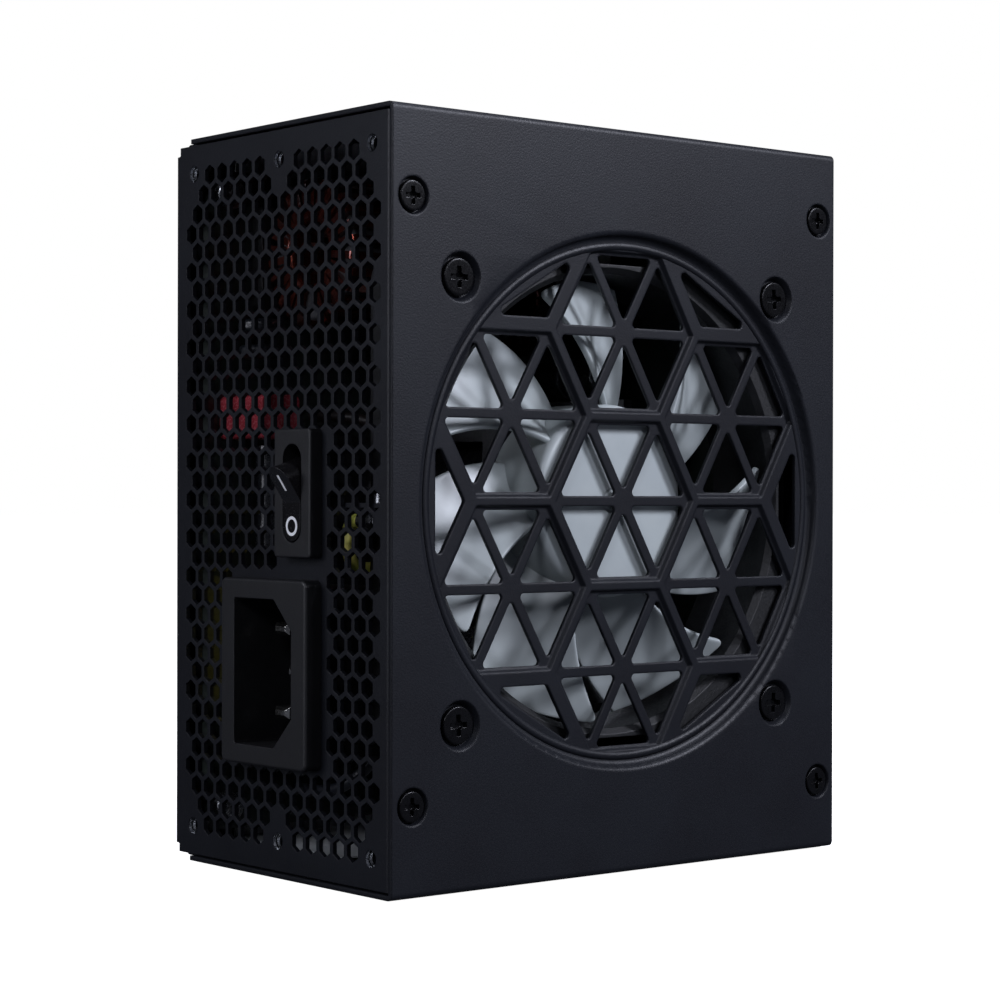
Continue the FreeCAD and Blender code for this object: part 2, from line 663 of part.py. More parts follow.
def make_fan_rotor():
    front = FAN_FRONT - ROTOR_SET_BACK
    back = FAN_BACK + MOTOR_BASE_T + 0.5
    inner = HUB_R - HUB_WALL
    boss = 3.0
    boss_end = FAN_BACK + 10.5
    profile = [Vector(front, FAN_Y, Z_MID), Vector(front, FAN_Y, Z_MID + HUB_R),
               Vector(back, FAN_Y, Z_MID + HUB_R), Vector(back, FAN_Y, Z_MID + inner),
               Vector(front - HUB_WALL, FAN_Y, Z_MID + inner), Vector(front - HUB_WALL, FAN_Y, Z_MID + boss),
               Vector(boss_end, FAN_Y, Z_MID + boss), Vector(boss_end, FAN_Y, Z_MID)]
    wire = outline(profile, [0, HUB_EDGE, 0, 0, 0.3, 0, 0, 0])
    hub = Part.Face(wire).revolve(Vector(0, FAN_Y, Z_MID), Vector(1, 0, 0), 360)
    rotor = hub.multiFuse([blade(k) for k in range(BLADES)])
    return rotor.cut(rod(SHAFT_R, (boss_end - 1, FAN_Y, Z_MID), (front - HUB_WALL / 2, FAN_Y, Z_MID)))


def make_fan_shaft():
    return rod(SHAFT_R, (FAN_BACK + MOTOR_BASE_T + 0.1, FAN_Y, Z_MID),
               (FAN_FRONT - ROTOR_SET_BACK - HUB_WALL / 2, FAN_Y, Z_MID))


def make_fan_bearing():
    return tube_x(BEARING_R, SHAFT_R + SHAFT_CLEARANCE, FAN_BACK + MOTOR_BASE_T + 0.1, FAN_BACK + 9.8)


def make_fan_magnet_ring():
    outer = HUB_R - HUB_WALL
    return tube_x(outer, outer - MAGNET_T, FAN_BACK + 2.8, FAN_BACK + 11.0)


def make_fan_stator():
    x0 = FAN_BACK + 4.4
    x1 = x0 + STATOR_T
    bore_r = BEARING_R + POST_WALL + SEAT_GAP
    core = tube_x(bore_r + 1.5, bore_r, x0, x1)
    shoe = tube_x(STATOR_R, STATOR_R - 1.2, x0, x1)
    arms = []
    gaps = []
    for k in range(4):
        arm = box(x0, x1, FAN_Y + BEARING_R + 2.0, FAN_Y + STATOR_R - 0.6, Z_MID - 1.5, Z_MID + 1.5)
        arm.rotate(Vector(0, FAN_Y, Z_MID), Vector(1, 0, 0), 90 * k)
        arms.append(arm)
        gap = box(x0 - 1, x1 + 1, FAN_Y + BEARING_R + 3.0, FAN_Y + STATOR_R + 2, Z_MID - 1.2, Z_MID + 1.2)
        gap.rotate(Vector(0, FAN_Y, Z_MID), Vector(1, 0, 0), 45 + 90 * k)
        gaps.append(gap)
    return core.multiFuse([shoe.cut(group(gaps))] + arms).removeSplitter()


def make_fan_coils():
    x0 = FAN_BACK + 4.4
    coils = []
    for k in range(4):
        outer = box(x0 - 1.2, x0 + STATOR_T + 1.2, FAN_Y + 7.0, FAN_Y + 11.0, Z_MID - 3.0, Z_MID + 3.0)
        outer = outer.makeFillet(0.8, [e for e in outer.Edges if abs(e.tangentAt(0).y) > 0.9])
        coil = outer.cut(box(x0, x0 + STATOR_T, FAN_Y + 6.0, FAN_Y + 12.0, Z_MID - 1.5, Z_MID + 1.5))
        coil.rotate(Vector(0, FAN_Y, Z_MID), Vector(1, 0, 0), 90 * k)
        coils.append(coil)
    return group(coils)


def make_fan_circuit_board():
    x0 = FAN_BACK + MOTOR_BASE_T
    return tube_x(HUB_R - HUB_WALL - MAGNET_T - 0.8, BEARING_R + 1.2, x0, x0 + 1.0)


# ---------- mains inlet ----------

PIN_PLACES = [(PIN_OFFSET, 0.0), (-PIN_OFFSET, PIN_PITCH), (-PIN_OFFSET, -PIN_PITCH)]
PIN_TIP_Y = PLATE_Y - INLET_PROUD + PIN_RECESS
PIN_END_Y = PLATE_Y + INLET_BODY_DEPTH + PIN_TAIL


def pin_block(grow, y0, y1):
    blocks = []
    for x, offset in PIN_PLACES:
        z = INLET_Z + offset
        blocks.append(box(x - PIN_W / 2 - grow, x + PIN_W / 2 + grow, y0, y1,
                          z - PIN_T / 2 - grow, z + PIN_T / 2 + grow))
    return blocks


def make_inlet_housing():
    face = PLATE_Y - INLET_PROUD
    bezel = rounded_box_xz(-INLET_W / 2, INLET_W / 2, INLET_Z - INLET_L / 2, INLET_Z + INLET_L / 2,
                           face, PLATE_Y, 1.2)
    rim = [e for e in bezel.Edges if e.BoundBox.YMax < face + 1e-4]
    bezel = bezel.makeFillet(0.5, rim)
    body = rounded_box_xz(-INLET_BODY_W / 2, INLET_BODY_W / 2, INLET_Z - INLET_BODY_L / 2,
                          INLET_Z + INLET_BODY_L / 2, PLATE_Y, PLATE_Y + INLET_BODY_DEPTH, 0.5)
    half_w = CAVITY_W / 2
    half_l = CAVITY_L / 2
    key = CAVITY_CHAMFER
    points = [(-half_w, INLET_Z - half_l), (half_w - key, INLET_Z - half_l), (half_w, INLET_Z - half_l + key),
              (half_w, INLET_Z + half_l - key), (half_w - key, INLET_Z + half_l), (-half_w, INLET_Z + half_l)]
    cavity = plate_xz(points, 0.5, face - 1, face + CAVITY_DEPTH)
    slots = pin_block(0.0, face + CAVITY_DEPTH - 1, PLATE_Y + INLET_BODY_DEPTH + 1)
    return fuse([bezel, body]).cut(group([cavity] + slots))


def make_inlet_pins():
    pins = []
    for block in pin_block(0.0, PIN_TIP_Y, PIN_END_Y):
        tip = [e for e in block.Edges if e.BoundBox.YMax < PIN_TIP_Y + 1e-4]
        pins.append(block.makeChamfer(0.6, tip))
    return group(pins)


# ---------- mains switch ----------

SWITCH_CAVITY_W = ROCKER_W + 2 * ROCKER_GAP
ROCKER_LEAN = math.radians(ROCKER_TILT)
ROCKER_SWING = ROCKER_HALF / math.cos(ROCKER_LEAN) + PIVOT_DEPTH * math.tan(ROCKER_LEAN)
SWITCH_CAVITY_HALF = ROCKER_SWING + ROCKER_END_GAP
SWITCH_BACK = PLATE_Y + SWITCH_BODY_DEPTH
TRUNNION_REACH = 1.1
FULCRUM_Y = SWITCH_BACK - 3.0
CONTACT_T = 0.5
CONTACT_HALF_W = 1.6
CONTACT_HALF_L = 6.0
TERMINAL_T = 0.8
TERMINAL_W = 4.0
TERMINAL_Z = (SWITCH_Z, SWITCH_Z - 6.0)
TERMINAL_TAIL = 6.0


def tilted(shape, y, z, angle):
    """Turn about the X axis line through (y, z); positive brings the upper end out of the case."""
    shape.rotate(Vector(0, y, z), Vector(1, 0, 0), angle)
    return shape


def make_switch_housing():
    bezel = rounded_box_xz(SWITCH_X - SWITCH_W / 2, SWITCH_X + SWITCH_W / 2, SWITCH_Z - SWITCH_L / 2,
                           SWITCH_Z + SWITCH_L / 2, BEZEL_FACE, PLATE_Y, 0.7)
    rim = [e for e in bezel.Edges if e.BoundBox.YMax < BEZEL_FACE + 1e-4]
    bezel = bezel.makeFillet(0.3, rim)
    body = box(SWITCH_X - SWITCH_BODY_W / 2, SWITCH_X + SWITCH_BODY_W / 2, PLATE_Y, SWITCH_BACK,
               SWITCH_Z - SWITCH_BODY_L / 2, SWITCH_Z + SWITCH_BODY_L / 2)
    slot = capsule_xz(SWITCH_X, SWITCH_Z, SWITCH_CAVITY_W, SWITCH_CAVITY_HALF, BEZEL_FACE - 1, PLATE_Y + 1)
    inner = box(SWITCH_X - SWITCH_CAVITY_W / 2, SWITCH_X + SWITCH_CAVITY_W / 2, PLATE_Y, SWITCH_BACK - 1.0,
                SWITCH_Z - SWITCH_CAVITY_HALF, SWITCH_Z + SWITCH_CAVITY_HALF)
    reach = ROCKER_W / 2 + TRUNNION_REACH + 0.1
    pivot = rod(PIVOT_R + PIVOT_CLEARANCE, (SWITCH_X - reach, PIVOT_Y, SWITCH_Z), (SWITCH_X + reach, PIVOT_Y, SWITCH_Z))
    cuts = [slot, inner, pivot] + terminal_tails(SWITCH_BACK - 2, SWITCH_BACK + 1)
    return fuse([bezel, body]).cut(group(cuts))


def terminal_tails(y0, y1):
    tails = []
    for z in TERMINAL_Z:
        tails.append(box(SWITCH_X - TERMINAL_W / 2, SWITCH_X + TERMINAL_W / 2, y0, y1,
                         z - TERMINAL_T / 2, z + TERMINAL_T / 2))
    return tails


def make_switch_rocker():
    """Capsule key with a shallow V front, two trunnions and a bore for the plunger."""
    depth_in = 2.6
    key = capsule_xz(SWITCH_X, SWITCH_Z, ROCKER_W, ROCKER_HALF, PIVOT_Y - 8, PIVOT_Y + depth_in)
    lean = math.tan(math.radians(ROCKER_TILT))
    middle = PIVOT_DEPTH / math.cos(math.radians(ROCKER_TILT))
    far = ROCKER_HALF + 2
    half_w = ROCKER_W
    points = [Vector(SWITCH_X - half_w, PIVOT_Y - middle, SWITCH_Z),
              Vector(SWITCH_X - half_w, PIVOT_Y - middle - far * lean, SWITCH_Z + far),
              Vector(SWITCH_X - half_w, PIVOT_Y - 12, SWITCH_Z + far),
              Vector(SWITCH_X - half_w, PIVOT_Y - 12, SWITCH_Z - far),
              Vector(SWITCH_X - half_w, PIVOT_Y - middle - far * lean, SWITCH_Z - far)]
    key = key.cut(prism(points, [1.5, 0, 0, 0, 0], Vector(2 * half_w, 0, 0)))
    reach = ROCKER_W / 2 + TRUNNION_REACH
    pins = rod(PIVOT_R, (SWITCH_X - reach, PIVOT_Y, SWITCH_Z), (SWITCH_X + reach, PIVOT_Y, SWITCH_Z))
    bore = rod(PLUNGER_R, (SWITCH_X, PIVOT_Y + 0.2, SWITCH_Z), (SWITCH_X, PIVOT_Y + depth_in + 1, SWITCH_Z))
    return tilted(key.fuse(pins).cut(bore), PIVOT_Y, SWITCH_Z, ROCKER_TILT)


def make_rocker_plunger():
    length = FULCRUM_Y - PIVOT_Y - 0.9
    stem = rod(PLUNGER_R, (SWITCH_X, PIVOT_Y + 0.2, SWITCH_Z), (SWITCH_X, PIVOT_Y + length - PLUNGER_R, SWITCH_Z))
    tip = Part.makeSphere(PLUNGER_R, Vector(SWITCH_X, PIVOT_Y + length - PLUNGER_R, SWITCH_Z))
    return tilted(stem.fuse(tip), PIVOT_Y, SWITCH_Z, ROCKER_TILT)


def make_switch_contact_blade():
    """See-saw blade that the plunger tips against the outer terminal."""
    low = SWITCH_X - CONTACT_HALF_W
    high = SWITCH_X + CONTACT_HALF_W
    strip = box(low, high, FULCRUM_Y - CONTACT_T, FULCRUM_Y, SWITCH_Z - CONTACT_HALF_L, SWITCH_Z + CONTACT_HALF_L)
    bead = rod(CONTACT_T, (low, FULCRUM_Y, SWITCH_Z), (high, FULCRUM_Y, SWITCH_Z))
    return tilted(fuse([strip, bead]), FULCRUM_Y, SWITCH_Z, -BLADE_TILT)


def make_switch_terminals():
    """Two fixed terminals: the middle one is the fulcrum, the other the contact."""
    tails = terminal_tails(SWITCH_BACK - 1.0, SWITCH_BACK + TERMINAL_TAIL)
    rise = (TERMINAL_Z[0] - TERMINAL_Z[1]) * math.sin(math.radians(BLADE_TILT))
    fulcrum = box(SWITCH_X - TERMINAL_W / 2, SWITCH_X + TERMINAL_W / 2, FULCRUM_Y + 0.15, SWITCH_BACK - 0.9,
                  TERMINAL_Z[0] - TERMINAL_T / 2, TERMINAL_Z[0] + TERMINAL_T / 2)
    seat = rod(CONTACT_T + SHAFT_CLEARANCE, (SWITCH_X - TERMINAL_W, FULCRUM_Y, SWITCH_Z),
               (SWITCH_X + TERMINAL_W, FULCRUM_Y, SWITCH_Z))
    fulcrum = fulcrum.cut(seat)
    contact = box(SWITCH_X - TERMINAL_W / 2, SWITCH_X + TERMINAL_W / 2, FULCRUM_Y + rise + 0.35, SWITCH_BACK - 0.9,
                  TERMINAL_Z[1] - TERMINAL_T / 2, TERMINAL_Z[1] + TERMINAL_T / 2)
    return group([fuse([tails[0], fulcrum]), fuse([tails[1], contact])])


# ---------- main board and insulation ----------

BOARD_EDGE = 4.0
BOARD_FRONT_EDGE = 8.0
STANDOFFS = [(y, z) for y in (BOARD_Y[0] + BOARD_EDGE, BOARD_Y[1] - BOARD_FRONT_EDGE)
             for z in (BOARD_Z[0] + BOARD_EDGE, BOARD_Z[1] - BOARD_EDGE)]
FILM_T = 0.25
FILM_LIFT = 0.4
FILM_SIDE_Z = 2.4
FILM_TOP = 3.0
FILM_Y = 38.0


def make_standoffs():
    posts = []
    for y, z in STANDOFFS:
        post = rod(STANDOFF_R, (X_INNER, y, z), (X_BOARD, y, z))
        posts.append(post.cut(rod(BOARD_SCREW_R, (X_INNER - 1, y, z), (X_BOARD + 1, y, z))))
    return group(posts)


def make_main_board():
    board = box(X_BOARD, X_DECK, BOARD_Y[0], BOARD_Y[1], BOARD_Z[0], BOARD_Z[1])
    return board.cut(group([rod(BOARD_SCREW_R, (X_BOARD - 1, y, z), (X_DECK + 1, y, z)) for y, z in STANDOFFS]))


def make_board_screws():
    screws = []
    for y, z in STANDOFFS:
        head = rod(2 * BOARD_SCREW_R, (X_DECK, y, z), (X_DECK + 1.6, y, z))
        head = head.makeFillet(0.5, [e for e in head.Edges if e.BoundBox.XMin > X_DECK + 1.5])
        shank = rod(BOARD_SCREW_R, (X_INNER + 0.5, y, z), (X_DECK + 0.1, y, z))
        cross = box(X_DECK + 0.9, X_DECK + 3, y - 1.5, y + 1.5, z - 0.3, z + 0.3)
        cross = cross.fuse(box(X_DECK + 0.9, X_DECK + 3, y - 0.3, y + 0.3, z - 1.5, z + 1.5))
        screws.append(head.fuse(shank).cut(cross))
    return group(screws)


def make_insulation_sheet():
    """Film under the board, folded up along both long edges."""
    low = X_INNER + FILM_LIFT
    outer = [(FILM_TOP, FILM_SIDE_Z), (low, FILM_SIDE_Z), (low, WIDTH - FILM_SIDE_Z), (FILM_TOP, WIDTH - FILM_SIDE_Z),
             (FILM_TOP, WIDTH - FILM_SIDE_Z - FILM_T), (low + FILM_T, WIDTH - FILM_SIDE_Z - FILM_T),
             (low + FILM_T, FILM_SIDE_Z + FILM_T), (FILM_TOP, FILM_SIDE_Z + FILM_T)]
    film = plate_xz(outer, 0, -FILM_Y, FILM_Y)
    slots = [box(X_INNER - 1, X_BOARD, y - STANDOFF_R - 0.5, y + STANDOFF_R + 0.5, z - STANDOFF_R - 0.5,
                 z + STANDOFF_R + 0.5) for y, z in STANDOFFS]
    return film.cut(group(slots))


# ---------- parts on the main board: y, z are middles; x is height above the board ----------

def standing_can(radius, length, y, z, groove=0.5):
    """Upright capacitor can with a rolled groove near its foot and a rounded top."""
    can = rod(radius, (X_DECK, y, z), (X_DECK + length, y, z))
    can = can.makeFillet(groove, [e for e in can.Edges if e.BoundBox.XMin > X_DECK + length - 1e-3])
    roll = Part.makeTorus(radius + groove * 0.4, groove, Vector(X_DECK + 3 * groove + 1, y, z), Vector(1, 0, 0))
    return can.cut(roll)


def block(y, z, size_y, size_z, low, high, radius=0.0):
    """Upright block standing between two heights above the board, its upright edges rounded."""
    points = [(y - size_y / 2, z - size_z / 2), (y + size_y / 2, z - size_z / 2),
              (y + size_y / 2, z + size_z / 2), (y - size_y / 2, z + size_z / 2)]
    return plate_yz(points, radius, X_DECK + low, X_DECK + high)


def make_bulk_capacitor():
    return standing_can(14.0, 30.0, -8.0, 28.0, 0.9)


POLYMER_PITCH = 9.4


def make_polymer_capacitors():
    return group([standing_can(4.0, 12.0, 35.0, 39.0 + POLYMER_PITCH * k) for k in range(6)])


RING_CHOKE = {"x": -9.0, "y": -32.0, "z": 105.0, "outer": 11.6, "inner": 6.6, "width": 8.0}
WIRE_T = 1.3


def make_choke_core():
    c = RING_CHOKE
    half = c["width"] / 2
    ring = rod(c["outer"], (c["x"], c["y"] - half, c["z"]), (c["x"], c["y"] + half, c["z"]))
    ring = ring.cut(rod(c["inner"], (c["x"], c["y"] - half - 1, c["z"]), (c["x"], c["y"] + half + 1, c["z"])))
    return ring.makeFillet(0.8, ring.Edges)


def winding_turn(inner, outer, half, thickness):
    """One flat turn around a ring's section, in the XY plane with the ring's middle at the origin."""
    points = [(inner - thickness, -half - thickness), (outer + thickness, -half - thickness),
              (outer + thickness, half + thickness), (inner - thickness, half + thickness)]
    turn = plate_xy(points, thickness * 0.9, -thickness / 2, thickness / 2)
    slack = 0.1
    return turn.cut(box(inner - slack, outer + slack / 2, -half, half, -thickness, thickness))


def make_choke_winding():
    """Thick copper turns spread around the ring, open where the ends leave."""
    c = RING_CHOKE
    turns = []
    count = 26
    for k in range(count):
        turn = winding_turn(c["inner"], c["outer"], c["width"] / 2, WIRE_T)
        turn.rotate(Vector(0, 0, 0), Vector(0, 1, 0), 110 + 320.0 * k / (count - 1))
        turn.translate(Vector(c["x"], c["y"], c["z"]))
        turns.append(turn)
    return group(turns)


def make_choke_base():
    c = RING_CHOKE
    top = c["x"] - c["outer"] - WIRE_T - X_DECK
    return block(c["y"], c["z"], c["width"] + 4, 18.0, 0.0, top, 1.0)


EMI_CHOKE = {"x": -14.4, "y": -25.0, "z": 60.0, "outer": 8.4, "inner": 4.6, "width": 7.0}


def make_emi_core():
    c = EMI_CHOKE
    half = c["width"] / 2
    ring = rod(c["outer"], (c["x"], c["y"], c["z"] - half), (c["x"], c["y"], c["z"] + half))
    return ring.cut(rod(c["inner"], (c["x"], c["y"], c["z"] - half - 1), (c["x"], c["y"], c["z"] + half + 1)))


def make_emi_windings():
    """Two separate windings on the two halves of the filter ring."""
    c = EMI_CHOKE
    turns = []
    for side in (-60.0, 120.0):
        for k in range(7):
            turn = winding_turn(c["inner"], c["outer"], c["width"] / 2, 1.0)
            turn.rotate(Vector(0, 0, 0), Vector(1, 0, 0), 90)
            turn.rotate(Vector(0, 0, 0), Vector(0, 0, 1), side + 20.0 * k)
            turn.translate(Vector(c["x"], c["y"], c["z"]))
            turns.append(turn)
    return group(turns)


TRANSFORMER_Y = 4.0
TRANSFORMER_Z = 64.0
TRANSFORMER_W = 28.0


def make_transformer_core():
    """Two E halves as one closed core: end plates, two side limbs and a round middle limb."""
    y, z, w = TRANSFORMER_Y, TRANSFORMER_Z, TRANSFORMER_W
    foot = block(y, z, w * 0.6, w, 1.5, 6.0, 1.0)
    head = block(y, z, w * 0.6, w, 23.0, 27.5, 1.0)
    limbs = [block(y, z + side * (w / 2 - 2.5), w * 0.6, 5.0, 5.0, 24.0) for side in (-1, 1)]
    middle = rod(5.0, (X_DECK + 5.0, y, z), (X_DECK + 24.0, y, z))
    return fuse([foot, head, middle] + limbs)


def make_transformer_winding():
    y, z = TRANSFORMER_Y, TRANSFORMER_Z
    coil = rod(8.8, (X_DECK + 6.0, y, z), (X_DECK + 23.0, y, z))
    return coil.cut(rod(5.0, (X_DECK + 5.0, y, z), (X_DECK + 24.0, y, z)))


def make_standby_transformer():
    core = block(-12.0, 108.0, 13.0, 16.0, 1.5, 15.0, 0.8)
    coil = block(-12.0, 108.0, 19.0, 9.6, 3.5, 13.0, 2.0)
    foot = block(-12.0, 108.0, 15.0, 17.0, 0.0, 1.5, 0.5)
    return fuse([core, coil, foot])


OUTPUT_CHOKE_Y = 17.0
OUTPUT_CHOKE_Z = 99.8


def make_output_choke():
    """Low ring choke lying on the board, with flat turns."""
    low = X_DECK + 1.2
    ring = tube_x(8.0, 4.2, low, low + 7.0, OUTPUT_CHOKE_Y, OUTPUT_CHOKE_Z)
    turns = []
    for k in range(14):
        turn = winding_turn(4.2, 8.0, 3.5, 1.1)
        turn.rotate(Vector(0, 0, 0), Vector(0, 0, 1), 90)
        turn.rotate(Vector(0, 0, 0), Vector(1, 0, 0), 25.0 * k)
        turn.translate(Vector(low + 3.5, OUTPUT_CHOKE_Y, OUTPUT_CHOKE_Z))
        turns.append(turn)
    return ring, group(turns)


def make_red_film_capacitor():
    return block(-41.2, 76.8, 7.6, 7.6, 0.4, 13.6, 1.2)


def make_mains_film_capacitor():
    return block(-40.0, 38.0, 7.0, 22.0, 0.4, 10.6, 0.6)


def make_disc_capacitors():
    """Thin round capacitors on edge."""
    discs = []
    for z in (87.0, 91.5):
        disc = rod(3.8, (X_DECK + 5.5, -40.0, z), (X_DECK + 5.5, -40.0, z + 2.4))
        discs.append(disc.makeFillet(0.9, disc.Edges))
    return group(discs)


def make_fuse():
    """Ceramic tube fuse lying on the board with metal end caps, as three solids."""
    x = X_DECK + 3.0
    y = -36.0
    tube = rod(2.5, (x, y, 58.0), (x, y, 68.0))
    caps = [rod(2.7, (x, y, 54.0), (x, y, 58.0)), rod(2.7, (x, y, 68.0), (x, y, 72.0))]
    return tube, group(caps)


HEATSINKS = {"heatsink_primary": (12.0, 28.0, 34.0, 33.0), "heatsink_secondary": (25.0, 64.0, 34.0, 29.0)}
HEATSINK_T = 2.0
FIN_STEP = 6.0


def make_heatsink(name):
    """Aluminium plate with a folded comb of fins along its top."""
    y, z, length, height = HEATSINKS[name]
    plate = block(y, z, HEATSINK_T, length, 0.0, height)
    comb = []
    count = int(length / FIN_STEP)
    for k in range(count):
        middle = z + (k - (count - 1) / 2) * FIN_STEP
        comb.append(block(y + HEATSINK_T, middle, 3 * HEATSINK_T, FIN_STEP * 0.6, height - 1.4, height))
    return fuse([plate] + comb)


def transistor(y_face, z, side):
    """Power transistor clamped on a plate face: body, tab and three legs as one outline."""
    body_t = 4.4
    y = y_face + side * body_t / 2
    body = block(y, z, body_t, 10.0, 7.0, 22.0, 0.3)
    legs = [block(y, z + step, 0.6, 0.9, 0.0, 7.1) for step in (-2.54, 0.0, 2.54)]
    return fuse([body] + legs)


def make_transistors():
    parts = []
    y, z, length, height = HEATSINKS["heatsink_primary"]
    for step in (-12.0, 0.0, 12.0):
        parts.append(transistor(y + HEATSINK_T / 2, z + step, 1))
    y, z, length, height = HEATSINKS["heatsink_secondary"]
    for step in (-8.0, 8.0):
        parts.append(transistor(y - HEATSINK_T / 2, z + step, -1))
    return group(parts)


def make_bridge_rectifier():
    body = block(24.0, 23.0, 3.6, 22.0, 5.0, 23.0, 0.4)
    legs = [block(24.0, 23.0 + step, 0.8, 1.2, 0.0, 5.1) for step in (-7.5, -2.5, 2.5, 7.5)]
    return fuse([body] + legs)


def make_control_board():
    return block(4.0, 88.0, 34.0, 1.2, 0.0, 20.0)


def make_control_chips():
    """Small packages soldered to the control board's face."""
    chips = []
    for y, low, size in ((-6.0, 6.0, 5.0), (4.0, 8.0, 7.0), (13.0, 5.0, 4.0)):
        chips.append(block(y, 88.0 + 0.6 + 0.7, size, 1.4, low, low + size * 0.8))
    return group(chips)


# ---------- output side ----------

OUTPUT_FACE = OUTPUT_BOARD_Y + OUTPUT_BOARD_T
MOUTH_Y = FRONT_Y + SOCKET_PROUD
OUTPUT_X = (X_DECK + 0.1, 25.5)
OUTPUT_Z = (8.0, 117.0)


def make_output_board():
    return box(OUTPUT_X[0], OUTPUT_X[1], OUTPUT_BOARD_Y, OUTPUT_FACE, OUTPUT_Z[0], OUTPUT_Z[1])


def contact_grid(x, offset, columns, y0, y1):
    pins = []
    half = CONTACT_W / 2
    for column in range(columns):
        z = Z_MID + offset + (column - (columns - 1) / 2) * CELL
        for row in (-0.5, 0.5):
            a = x + row * CELL
            pins.append(box(a - half, a + half, y0, y1, z - half, z + half))
    return pins


def make_socket(x, offset, columns):
    """Shrouded header with one open mouth; its floor holds the contacts."""
    z = Z_MID + offset
    half_l = columns * CELL / 2 + SOCKET_WALL
    half_w = SOCKET_W / 2
    floor_t = 1.2
    shroud = rounded_box_xz(x - half_w, x + half_w, z - half_l, z + half_l, OUTPUT_FACE, MOUTH_Y, 0.4)
    mouth = rounded_box_xz(x - half_w + SOCKET_WALL, x + half_w - SOCKET_WALL, z - half_l + SOCKET_WALL,
                           z + half_l - SOCKET_WALL, OUTPUT_FACE + floor_t, MOUTH_Y + 1, 0.3)
    pins = contact_grid(x, offset, columns, OUTPUT_FACE - 1, OUTPUT_FACE + floor_t + 1)
    return shroud.cut(group([mouth] + pins))


def make_socket_contacts():
    pins = []
    for x, offset, columns in SOCKETS:
        pins += contact_grid(x, offset, columns, OUTPUT_FACE, MOUTH_Y - SOCKET_RECESS)
    return group(pins)


# ---------- wires and small electrical pieces ----------

MAINS_WIRE_R = 1.0
EARTH_WIRE_R = 1.1
FAN_WIRE_R = 0.6


def make_live_wire():
    """From the upper inlet pin to the outer switch terminal."""
    x = -PIN_OFFSET
    z = INLET_Z + PIN_PITCH
    end_y = SWITCH_BACK + TERMINAL_TAIL
    return wire_along([(x, PIN_END_Y, z), (x, -22.5, z), (1.0, -20.0, 48.0), (5.5, -22.0, 54.5),
                       (SWITCH_X, -26.5, TERMINAL_Z[1]), (SWITCH_X, end_y, TERMINAL_Z[1])], MAINS_WIRE_R)


def make_switched_wire():
    """From the middle switch terminal down to the main board."""
    end_y = SWITCH_BACK + TERMINAL_TAIL
    return wire_along([(SWITCH_X, end_y, TERMINAL_Z[0]), (SWITCH_X, -27.0, TERMINAL_Z[0]), (4.0, -23.0, 68.5),
                       (-3.0, -22.0, 73.5), (-11.0, -23.0, 76.5), (-18.0, -25.0, 77.5), (X_DECK, -25.0, 77.5)],
                      MAINS_WIRE_R)


def make_neutral_wire():
    x = -PIN_OFFSET
    z = INLET_Z - PIN_PITCH
    return wire_along([(x, PIN_END_Y, z), (x, -23.6, z), (-5.0, -25.0, 18.0), (-11.0, -27.5, 12.5),
                       (-18.0, -28.0, 11.0), (X_DECK, -28.0, 11.0)], MAINS_WIRE_R)


RING_T = 0.8
RING_R = 3.2
BARREL_R = 1.6
BARREL_X = (17.6, 20.2)
BARREL_Z = EARTH_TAB["z"] - RING_T - BARREL_R + 0.3


def make_earth_wire():
    """From the middle inlet pin, past the switch close behind the plate, to the ring terminal."""
    y = EARTH_TAB["hole_y"]
    return wire_along([(PIN_OFFSET, PIN_END_Y, INLET_Z), (PIN_OFFSET, -22.8, INLET_Z), (6.5, -21.5, 41.5),
                       (9.5, -27.0, 48.5), (10.4, -35.5, 51.2), (12.0, -42.6, 51.4), (14.2, -45.8, 54.0),
                       (14.0, y, BARREL_Z), (BARREL_X[0], y, BARREL_Z)], EARTH_WIRE_R)


def make_earth_ring_terminal():
    """Flat eye under the earth tab with a crimped barrel beside it."""
    x = EARTH_TAB["hole_x"]
    y = EARTH_TAB["hole_y"]
    top = EARTH_TAB["z"]
    eye = rod(RING_R, (x, y, top - RING_T), (x, y, top))
    neck = box(BARREL_X[1] - 1.0, x, y - 1.4, y + 1.4, top - RING_T, top)
    barrel = rod(BARREL_R, (BARREL_X[0], y, BARREL_Z), (BARREL_X[1], y, BARREL_Z))
    hole = rod(COVER_SHANK_R + HOLE_GAP, (x, y, top - 3), (x, y, top + 1))
    return fuse([eye, neck, barrel]).cut(group([hole, box(10, 30, y - 5, y + 5, top, top + 3)]))


def make_earth_screw():
    x = EARTH_TAB["hole_x"]
    y = EARTH_TAB["hole_y"]
    seat = EARTH_TAB["z"] - RING_T
    head = rod(2.6, (x, y, seat - 1.6), (x, y, seat))
    shank = rod(COVER_SHANK_R, (x, y, seat - 0.1), (x, y, EARTH_TAB["z"] + SHEET + 1.5))
    slot = box(x - 3, x + 3, y - 0.4, y + 0.4, seat - 3, seat - 0.8)
    return head.fuse(shank).cut(slot)


FAN_PLUG = {"y": 34.0, "z": 106.0, "length": 6.0, "width": 8.0, "top": 11.0}


def make_fan_plug():
    c = FAN_PLUG
    return block(c["y"], c["z"], c["length"], c["width"], 4.0, c["top"], 0.4)


def make_fan_header():
    c = FAN_PLUG
    shell = block(c["y"], c["z"], c["length"] + 2.0, c["width"] + 2.0, 0.0, 7.0, 0.4)
    return shell.cut(block(c["y"], c["z"], c["length"], c["width"], 4.0, 9.0, 0.4))


